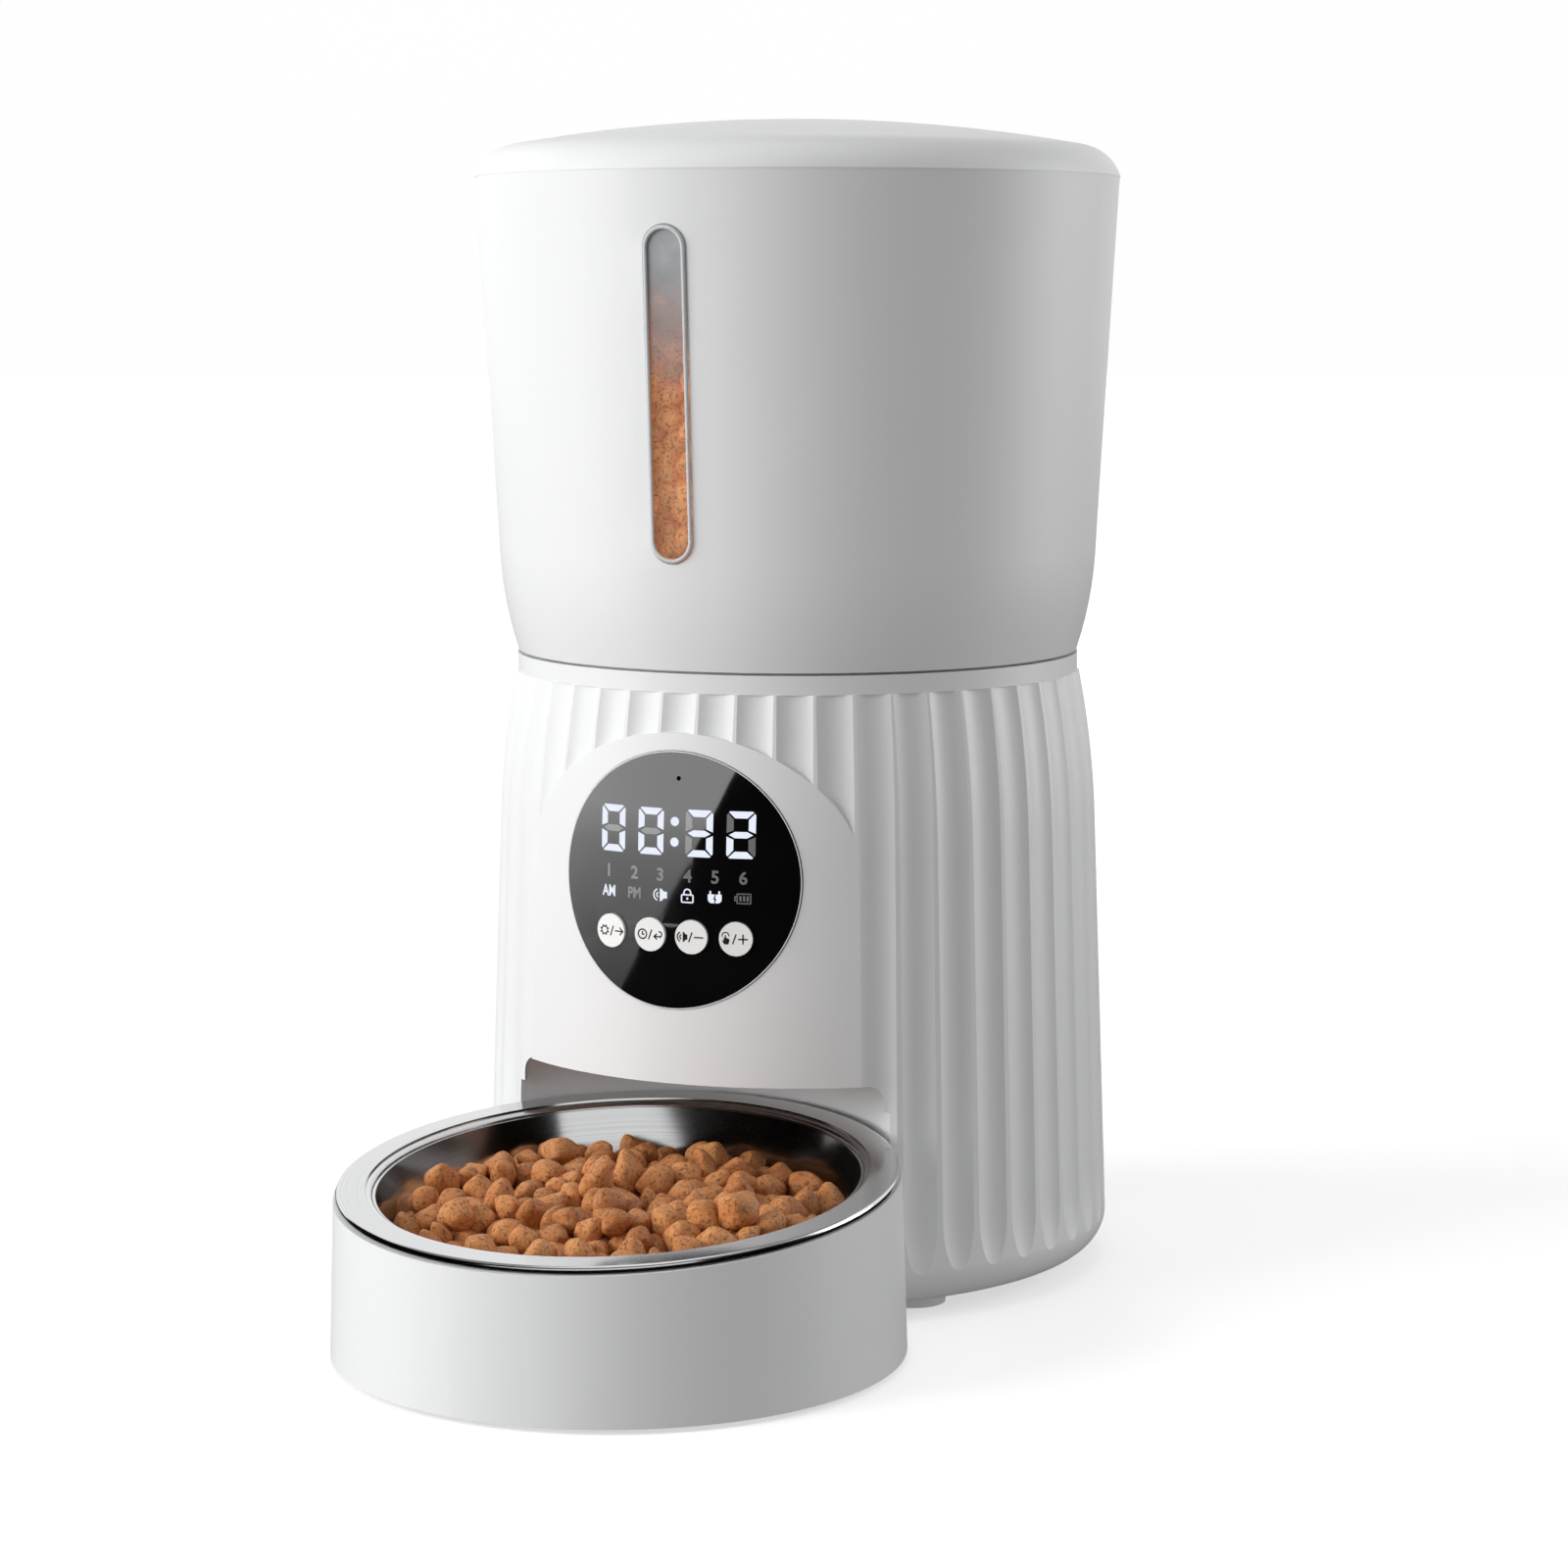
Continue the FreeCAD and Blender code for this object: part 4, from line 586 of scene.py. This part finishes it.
def button_marks():
    """The two marks with a slash between them on each button."""
    slash = stroke([(-0.55, -1.5), (0.55, 1.5)], LINE)
    teeth = []
    for i in range(8):
        a = math.radians(22.5 + 45 * i)
        teeth.append(stroke([(-2.75 + r * math.cos(a), r * math.sin(a)) for r in (1.16, 1.62)], 0.55))
    gear = [ring(-2.75, 0, 1.08, LINE * 0.8)] + teeth
    arrow = [stroke([(1.15, 0), (4.0, 0)], LINE), stroke([(2.85, 1.15), (4.05, 0), (2.85, -1.15)], LINE)]
    clock = [ring(-2.6, 0, 1.4, LINE), stroke([(-2.6, 0.85), (-2.6, -0.1), (-1.95, -0.1)], LINE)]
    enter = [stroke([(1.4, -0.5), (3.2, -0.5)] + arc(3.2, 0.25, 0.75, -90, 90, 8) + [(2.9, 1.0)], LINE),
             stroke([(2.3, 0.35), (1.35, -0.5), (2.3, -1.35)], LINE)]
    horn = [polygon([(-2.4, -1.5), (-2.05, -1.5), (-1.5, -0.8), (-0.95, -0.8), (-0.95, 0.8), (-1.5, 0.8),
                     (-2.05, 1.5), (-2.4, 1.5)]),
            stroke(arc(-2.6, 0, 1.5, 115, 245), LINE), stroke(arc(-2.6, 0, 0.7, 110, 250), LINE)]
    minus = [stroke([(1.15, 0), (4.0, 0)], LINE)]
    plus = minus + [stroke([(2.6, -1.45), (2.6, 1.45)], LINE)]
    palm = [(-3.15, 0.2), (-2.75, 0.3), (-2.6, 1.2), (-2.3, 1.2), (-2.25, 0.3), (-1.4, 0.1), (-1.25, -0.5),
            (-1.6, -1.6), (-2.8, -1.6), (-3.5, -0.6), (-3.35, -0.35), (-2.95, -0.6)]
    hand = [polygon([(x - 0.2, z) for x, z in palm]), stroke(arc(-2.65, 1.0, 1.0, -10, 200, 12), LINE * 0.8)]
    return {"button_settings": gear + [slash] + arrow, "button_clock": clock + [slash] + enter,
            "button_record": horn + [slash] + minus, "button_feed": hand + [slash] + plus}


def display():
    """Print the display's marks and edge line and the buttons' marks. The unlit marks are returned."""
    bright, dim = display_shapes()
    printed("display_lit_marks", bright, on_lens, "base", LIT)
    marks = printed("display_dim_marks", dim, on_lens, "base", UNLIT)
    printed("display_edge", [ring(0, LENS.z / MM, 38.05, 0.3, 128)], on_lens, "base",
            MATERIALS["white_plastic"], low=-0.1, high=0.02, step=4.0)
    for name, shapes in button_marks().items():
        printed(f"{name}_marks", shapes, on_button(name), name, INK, low=-0.01, high=0.02)
    return marks


# ---------------------------------------------------------------- dry food


def settle(radii, keep_inside, start, pull, rounds, seed):
    """Let round grains fall together until they rest, in millimetres."""
    spots = start(np.random.default_rng(seed), len(radii))
    touch = radii[:, None] + radii[None, :]
    for turn in range(rounds):
        spots = spots + pull(spots) * (0.7 if turn < rounds * 0.75 else 0.15)
        for _ in range(3):
            gap = spots[:, None, :] - spots[None, :, :]
            far = np.sqrt((gap ** 2).sum(-1)) + 1e-6
            over = np.clip(touch - far, 0, None)
            np.fill_diagonal(over, 0)
            spots = spots + 0.42 * (gap / far[..., None] * over[..., None]).sum(1)
            spots = keep_inside(spots)
    return spots


def grain_directions(levels):
    """Points all round a ball and the triangles between them."""
    mesh = bmesh.new()
    bmesh.ops.create_icosphere(mesh, subdivisions=levels, radius=1.0)
    points = np.array([v.co[:] for v in mesh.verts])
    faces = np.array([[v.index for v in f.verts] for f in mesh.faces])
    mesh.free()
    return points, faces


def grain_shape(directions, rng):
    """A lump with softly rounded flats, some of them pulled out to a nub."""
    sides = 11
    golden = math.pi * (3 - math.sqrt(5))
    k = np.arange(sides) + 0.5
    polar = np.arccos(1 - 2 * k / sides)
    round_x, round_y = np.cos(golden * k), np.sin(golden * k)
    flats = np.stack([round_x * np.sin(polar), round_y * np.sin(polar), np.cos(polar)], 1)
    flats += rng.normal(0, 0.22, flats.shape)
    flats /= np.linalg.norm(flats, axis=1)[:, None]
    reach = rng.uniform(0.88, 1.08, sides)
    power = 5.2
    lean = np.clip(directions @ flats.T, 0, None) / reach
    radius = (lean ** power).sum(1) ** (-1 / power)
    nub = rng.normal(size=3)
    nub /= np.linalg.norm(nub)
    radius *= 1 + rng.uniform(0.0, 0.2) * np.exp(-((directions @ nub - 1) / 0.16) ** 2)
    wave = rng.normal(size=(3, 3)) * 3.2
    phase = rng.uniform(0, 6.28, 3)
    radius *= 1 + 0.018 * np.sin(directions @ wave.T + phase).sum(1)
    stretch = np.array([1.0, rng.uniform(0.86, 1.0), rng.uniform(0.82, 1.0)])
    return directions * radius[:, None] * stretch


def turn_matrix(rng):
    """A random turn, from a random unit quaternion."""
    q = rng.normal(size=4)
    w, x, y, z = q / np.linalg.norm(q)
    return np.array([[1 - 2 * (y * y + z * z), 2 * (x * y - z * w), 2 * (x * z + y * w)],
                     [2 * (x * y + z * w), 1 - 2 * (x * x + z * z), 2 * (y * z - x * w)],
                     [2 * (x * z - y * w), 2 * (y * z + x * w), 1 - 2 * (x * x + y * y)]])


def food(name, spots, radii, levels, place, body, seed, material=KIBBLE):
    """One object holding many grains, each its own closed lump."""
    rng = np.random.default_rng(seed)
    directions, faces = grain_directions(levels)
    points, corners, tones = [], [], []
    for i, (spot, radius) in enumerate(zip(spots, radii)):
        lump = grain_shape(directions, rng) @ turn_matrix(rng).T * radius * 1.05 + spot
        points.append(lump)
        corners.append(faces + i * len(directions))
        tones.append(np.full(len(directions), rng.uniform(0, 1)))
    points, corners = np.concatenate(points) * MM, np.concatenate(corners)
    points = points @ np.array(place.to_3x3()).T + np.array(place.translation)
    data = bpy.data.meshes.new(name)
    data.from_pydata(points.tolist(), [], corners.tolist())
    data.attributes.new("tone", "FLOAT", "POINT").data.foreach_set("value", np.concatenate(tones))
    data.polygons.foreach_set("use_smooth", [True] * len(data.polygons))
    data.materials.append(material)
    thing = bpy.data.objects.new(name, data)
    bpy.context.scene.collection.objects.link(thing)
    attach(thing, body)
    return thing


# Heights from the rim plane and the inside radii of the steel bowl there, in millimetres.
BOWL_SIDE = ([-36.0, -33.0, -30.0, 0.0, 2.0], [50.0, 57.0, 59.1, 69.9, 71.0])
BED_TOP = -22.0


def bed(name, outline, place, body):
    """A turned body of crumbs under the loose grains."""
    return turned(name, outline, place, body, KIBBLE, steps=72, sharp=180)


def start_round(radius, low, high):
    """Scatter grains in an upright cylinder."""
    def start(rng, count):
        angle = rng.uniform(0, 2 * math.pi, count)
        reach = radius * np.sqrt(rng.uniform(0, 1, count))
        return np.stack([reach * np.cos(angle), reach * np.sin(angle), rng.uniform(low, high, count)], 1)

    return start


def pulled(*way):
    """The same pull on every grain."""
    return lambda spots: np.tile(np.array(way), (len(spots), 1))


def held_in(spots, limit):
    """Bring grains back inside a radius round the axis."""
    reach = np.linalg.norm(spots[:, :2], axis=1) + 1e-6
    spots[:, :2] *= np.minimum(1.0, limit / reach)[:, None]
    return spots


def bowl_food():
    """Food heaped in the bowl. It lies level, so it reaches higher at the low front of the leaning rim."""
    radii = np.random.default_rng(11).uniform(3.5, 5.0, 470)

    def pull(spots):
        reach = np.linalg.norm(spots[:, :2], axis=1)[:, None] + 1e-6
        down = np.tile([0.0, -math.sin(RIM_LEAN), -math.cos(RIM_LEAN)], (len(spots), 1))
        down[:, :2] += -spots[:, :2] / reach * 0.02
        return down

    def keep_inside(spots):
        spots[:, 2] = np.maximum(spots[:, 2], BED_TOP + radii * 0.8)
        return held_in(spots, np.interp(spots[:, 2] - 0.3 * radii, *BOWL_SIDE) - radii * 0.97)

    spots = settle(radii, keep_inside, start_round(55, BED_TOP, 45), pull, 170, 5)
    shown = spots[:, 2] > -13
    left = spots[:, 0] < 0
    for name, chosen, levels, seed in (("left", shown & left, 4, 21), ("right", shown & ~left, 4, 23),
                                       ("under", ~shown, 3, 22)):
        food(f"kibble_in_bowl_{name}", spots[chosen], radii[chosen], levels, leaned(), "bowl", seed)
    outline = [(0, -35.8), (49.5, -35.8), (56.5, -32.0), (61.5, BED_TOP), (40.0, BED_TOP + 1),
               (0, BED_TOP + 1)]
    bed("kibble_in_bowl_bed", outline, leaned(), "bowl")


def hopper_inside(z):
    """The radius that food can reach inside the hopper at a height, in millimetres."""
    return np.interp(z, [206.0, HOPPER_MID_Z, HOPPER_TOP_Z], [86.0, 90.9, 97.3])


def window_food(radii, place):
    """A column of grains that leans on the hopper's front wall, behind the level window."""
    def start(rng, count):
        x = rng.uniform(-20, 20, count)
        y = rng.uniform(-88, -66, count)
        return np.stack([x, y, rng.uniform(226, 350, count)], 1)

    def keep_inside(spots):
        spots[:, 2] = np.maximum(spots[:, 2], 219 + radii)
        spots[:, 0] = np.clip(spots[:, 0], -22 + radii, 22 - radii)
        spots[:, 1] = np.minimum(spots[:, 1], -66 - radii)
        reach = np.linalg.norm(spots[:, :2], axis=1)
        spots[:, :2] *= np.minimum(1.0, (hopper_inside(spots[:, 2]) - radii * 1.12) / reach)[:, None]
        return spots

    spots = settle(radii, keep_inside, start, pulled(0.0, -0.25, -1.0), 150, 7)
    shown = (np.linalg.norm(spots[:, :2], axis=1) > 80) & (np.abs(spots[:, 0]) < 13)
    # The grains against the window get the glowing copy of the food: painted light.
    food("kibble_at_window", spots[shown], radii[shown], 4, place, "hopper", 41, KIBBLE_PAINTED_LIGHT)
    food("kibble_behind_window", spots[~shown], radii[~shown], 3, place, "hopper", 42)


def top_food(radii, place):
    """The top layer, which shows when the lid is off, on a bed of crumbs."""
    top = FOOD_TOP / MM

    def keep_inside(spots):
        spots[:, 2] = np.maximum(spots[:, 2], top - 13 + radii)
        return held_in(spots, hopper_inside(spots[:, 2]) - radii * 1.15)

    spots = settle(radii, keep_inside, start_round(88, top, top + 30), pulled(0.0, 0.0, -1.0), 70, 9)
    at_window = (np.abs(spots[:, 0]) < 26) & (spots[:, 1] < -60)
    food("kibble_layer", spots[~at_window], radii[~at_window], 3, place, "hopper", 43)
    outline = [(0, 240), (60, 240), (62, 243), (62, top - 14), (60, top - 12), (0, top - 12)]
    bed("kibble_bed", outline, place, "hopper")


def hopper_food():
    """Food in the hopper: behind the window and under the lid."""
    rng = np.random.default_rng(31)
    place = Matrix.Translation((AXIS.x, AXIS.y, 0))
    window_food(rng.uniform(3.3, 4.5, 330), place)
    top_food(rng.uniform(4.7, 6.1, 300), place)


# ---------------------------------------------------------------- camera, floor and light


FLOOR_GLOW = 0.43
ROOM_LIGHT = 0.29
# name: azimuth from the front towards the right, height angle, distance, (width, height), watts
LAMPS = {
    "key": (-50, 14, 1.9, (1.5, 1.5), 42.0),
    "top": (0, 88, 2.0, (1.4, 1.4), 6.5),
    "rim": (124, 12, 1.8, (1.0, 1.4), 12.0),
}


def camera():
    """The view from the front right, a little above the feeder."""
    data = bpy.data.cameras.new("camera")
    data.sensor_width = 36.0
    data.lens = 87.32
    data.shift_x = -0.0086
    data.clip_end = 100.0
    thing = bpy.data.objects.new("camera", data)
    thing.location = (0.4678, -1.0428, 0.3045)
    thing.rotation_euler = (math.radians(90 - 7.36), 0.0, math.radians(23.03))
    bpy.context.scene.collection.objects.link(thing)
    bpy.context.scene.camera = thing


def area(name, place, target, size, power):
    """A soft box that looks at a target."""
    data = bpy.data.lights.new(name, "AREA")
    data.shape = "RECTANGLE"
    data.size, data.size_y = size
    data.energy = power
    thing = bpy.data.objects.new(name, data)
    thing.location = place
    thing.rotation_euler = (Vector(target) - Vector(place)).to_track_quat("-Z", "Y").to_euler()
    bpy.context.scene.collection.objects.link(thing)
    return thing


def staged(name, mesh, material, hidden_from):
    """A part of the studio, hidden from some kinds of ray."""
    data = bpy.data.meshes.new(name)
    mesh.to_mesh(data)
    mesh.free()
    data.materials.append(material)
    thing = bpy.data.objects.new(name, data)
    bpy.context.scene.collection.objects.link(thing)
    for kind in hidden_from:
        setattr(thing, f"visible_{kind}", False)
    return thing


def backdrop():
    """A white dome that only the camera sees, so the room light stays free of it."""
    mesh = bmesh.new()
    bmesh.ops.create_uvsphere(mesh, u_segments=48, v_segments=24, radius=14.0)
    tree = Tree("backdrop_paper")
    pale = tree.ramp(tree.noise(0.3), [(0.3, (0.99, 0.99, 0.99)), (0.7, (1.0, 1.0, 1.0))])
    paper = tree.finish(Base_Color=(0.0, 0.0, 0.0, 1.0), Specular_IOR_Level=0.0, Emission_Color=pale,
                        Emission_Strength=1.0)
    staged("backdrop", mesh, paper, ("diffuse", "glossy", "transmission", "shadow"))


def floor():
    """White paper that glows a little, more with distance, so that it runs into the backdrop."""
    mesh = bmesh.new()
    bmesh.ops.create_circle(mesh, cap_ends=True, segments=96, radius=13.0)
    tree = Tree("floor_paper")
    pale = tree.ramp(tree.noise(3.0), [(0.3, (0.89, 0.89, 0.89)), (0.7, (0.90, 0.90, 0.90))])
    glow = tree.span(tree.length(tree.place), FLOOR_GLOW, 1.0, 0.45, 1.5)
    paper = tree.finish(Base_Color=pale, Roughness=0.95, Specular_IOR_Level=0.1,
                        Emission_Color=(1.0, 1.0, 1.0, 1.0), Emission_Strength=glow)
    staged("floor", mesh, paper, ("diffuse", "glossy"))


ALL_BUT_REFLECTIONS = ("camera", "diffuse", "transmission", "shadow")


def strip(name, centre, radius, start, end, low, high, strength, low_strength=None):
    """A curved card that only reflections see, between two angles in degrees from the front to the right.
    Its lower edge is a height or a function of the angle. A low strength dims it towards the floor."""
    steps = 48
    mesh = bmesh.new()
    rows = []
    for i in range(steps + 1):
        degrees = start + (end - start) * i / steps
        a = math.radians(degrees)
        x, y = centre[0] + radius * math.sin(a), centre[1] - radius * math.cos(a)
        bottom = low(degrees) if callable(low) else low
        rows.append([mesh.verts.new((x, y, z)) for z in (bottom, high)])
    for one, two in zip(rows, rows[1:]):
        mesh.faces.new([one[0], two[0], two[1], one[1]])
    tree = Tree(f"{name}_glow")
    pale = tree.ramp(tree.noise(2.0), [(0.3, (0.97, 0.97, 0.97)), (0.7, (1.0, 1.0, 1.0))])
    power = strength
    if low_strength is not None:
        power = tree.span(tree.height(), low_strength, strength, 0.03, 0.15)
    card = tree.finish(Base_Color=(0.0, 0.0, 0.0, 1.0), Specular_IOR_Level=0.0, Emission_Color=pale,
                       Emission_Strength=power)
    return staged(name, mesh, card, ALL_BUT_REFLECTIONS)


def dark_surround():
    """What glossy faces see of the floor and of the room in front: nothing bright."""
    mesh = bmesh.new()
    bmesh.ops.create_circle(mesh, cap_ends=True, segments=48, radius=9.0)
    bmesh.ops.translate(mesh, verts=mesh.verts, vec=(0, 0, -0.003))
    tree = Tree("dark_floor_paper")
    tone = tree.ramp(tree.noise(2.0), [(0.3, (0.0, 0.0, 0.0)), (0.7, (0.002, 0.002, 0.002))])
    paper = tree.finish(Base_Color=tone, Specular_IOR_Level=0.0, Roughness=1.0)
    staged("dark_floor", mesh, paper, ALL_BUT_REFLECTIONS)
    strip("dark_wall", (0.0, 0.0), 2.4, -104, 104, -0.01, 1.7, 0.0)


def seen_by(card, things):
    """Let only these things catch a card's light."""
    only = bpy.data.collections.new(f"{card.name}_only")
    for thing in things:
        only.objects.link(thing)
    card.light_linking.receiver_collection = only


def slanted_edge(degrees):
    """Lower edge of the display's card: it crosses the glass as one straight slanted line."""
    if degrees < -16:
        return max(0.001, 0.131 + 0.0018 * degrees)
    return 0.2024 + 0.0064 * degrees


def cards(bowl, marks):
    """Soft boxes that only show as reflections, in the steel and in the display's glass."""
    front = (0.0, TRAY_AXIS.y)
    strip("rear_card", (0.0, 0.0), 4.0, 98, 262, -0.4, 4.0, 1.1)
    front_card = strip("front_card", front, 1.2, -26, 54, 0.02, 0.62, 0.95)
    left_card = strip("left_card", front, 1.2, -100, -60, 0.03, 0.5, 0.55)
    glass_card = strip("glass_card", (0.0, LENS.y), 0.45, -96, 8, slanted_edge, 0.36, 5.2, 0.4)
    seen_by(front_card, [bowl])
    seen_by(left_card, [bowl])
    seen_by(glass_card, [NODES["display_lens"], marks])


def studio(bowl, marks):
    """The pale studio: backdrop, floor, reflection cards, lamps and a little light from all round."""
    scene = bpy.context.scene
    scene.view_settings.view_transform = "Standard"
    world = bpy.data.worlds.new("studio")
    world.use_nodes = True
    background = world.node_tree.nodes["Background"]
    background.inputs["Color"].default_value = (1.0, 1.0, 1.0, 1.0)
    background.inputs["Strength"].default_value = ROOM_LIGHT
    scene.world = world
    backdrop()
    floor()
    dark_surround()
    cards(bowl, marks)
    middle = Vector((0.0, 0.0, 0.18))
    for name, (azimuth, height, far, size, power) in LAMPS.items():
        a, h = math.radians(azimuth), math.radians(height)
        way = Vector((math.sin(a) * math.cos(h), -math.cos(a) * math.cos(h), math.sin(h)))
        lamp = area(name, middle + way * far, middle, size, power)
        lamp.visible_glossy = name != "key"
    bounce = area("bounce", (0.22, -0.55, 0.01), (0.0, -0.05, 0.10), (0.5, 0.5), 0.3)
    bounce.visible_glossy = False


dress_cad()
unlit_marks = display()
polished_bowl = steel_bowl()
window_bead()
bowl_food()
hopper_food()
camera()
studio(polished_bowl, unlit_marks)
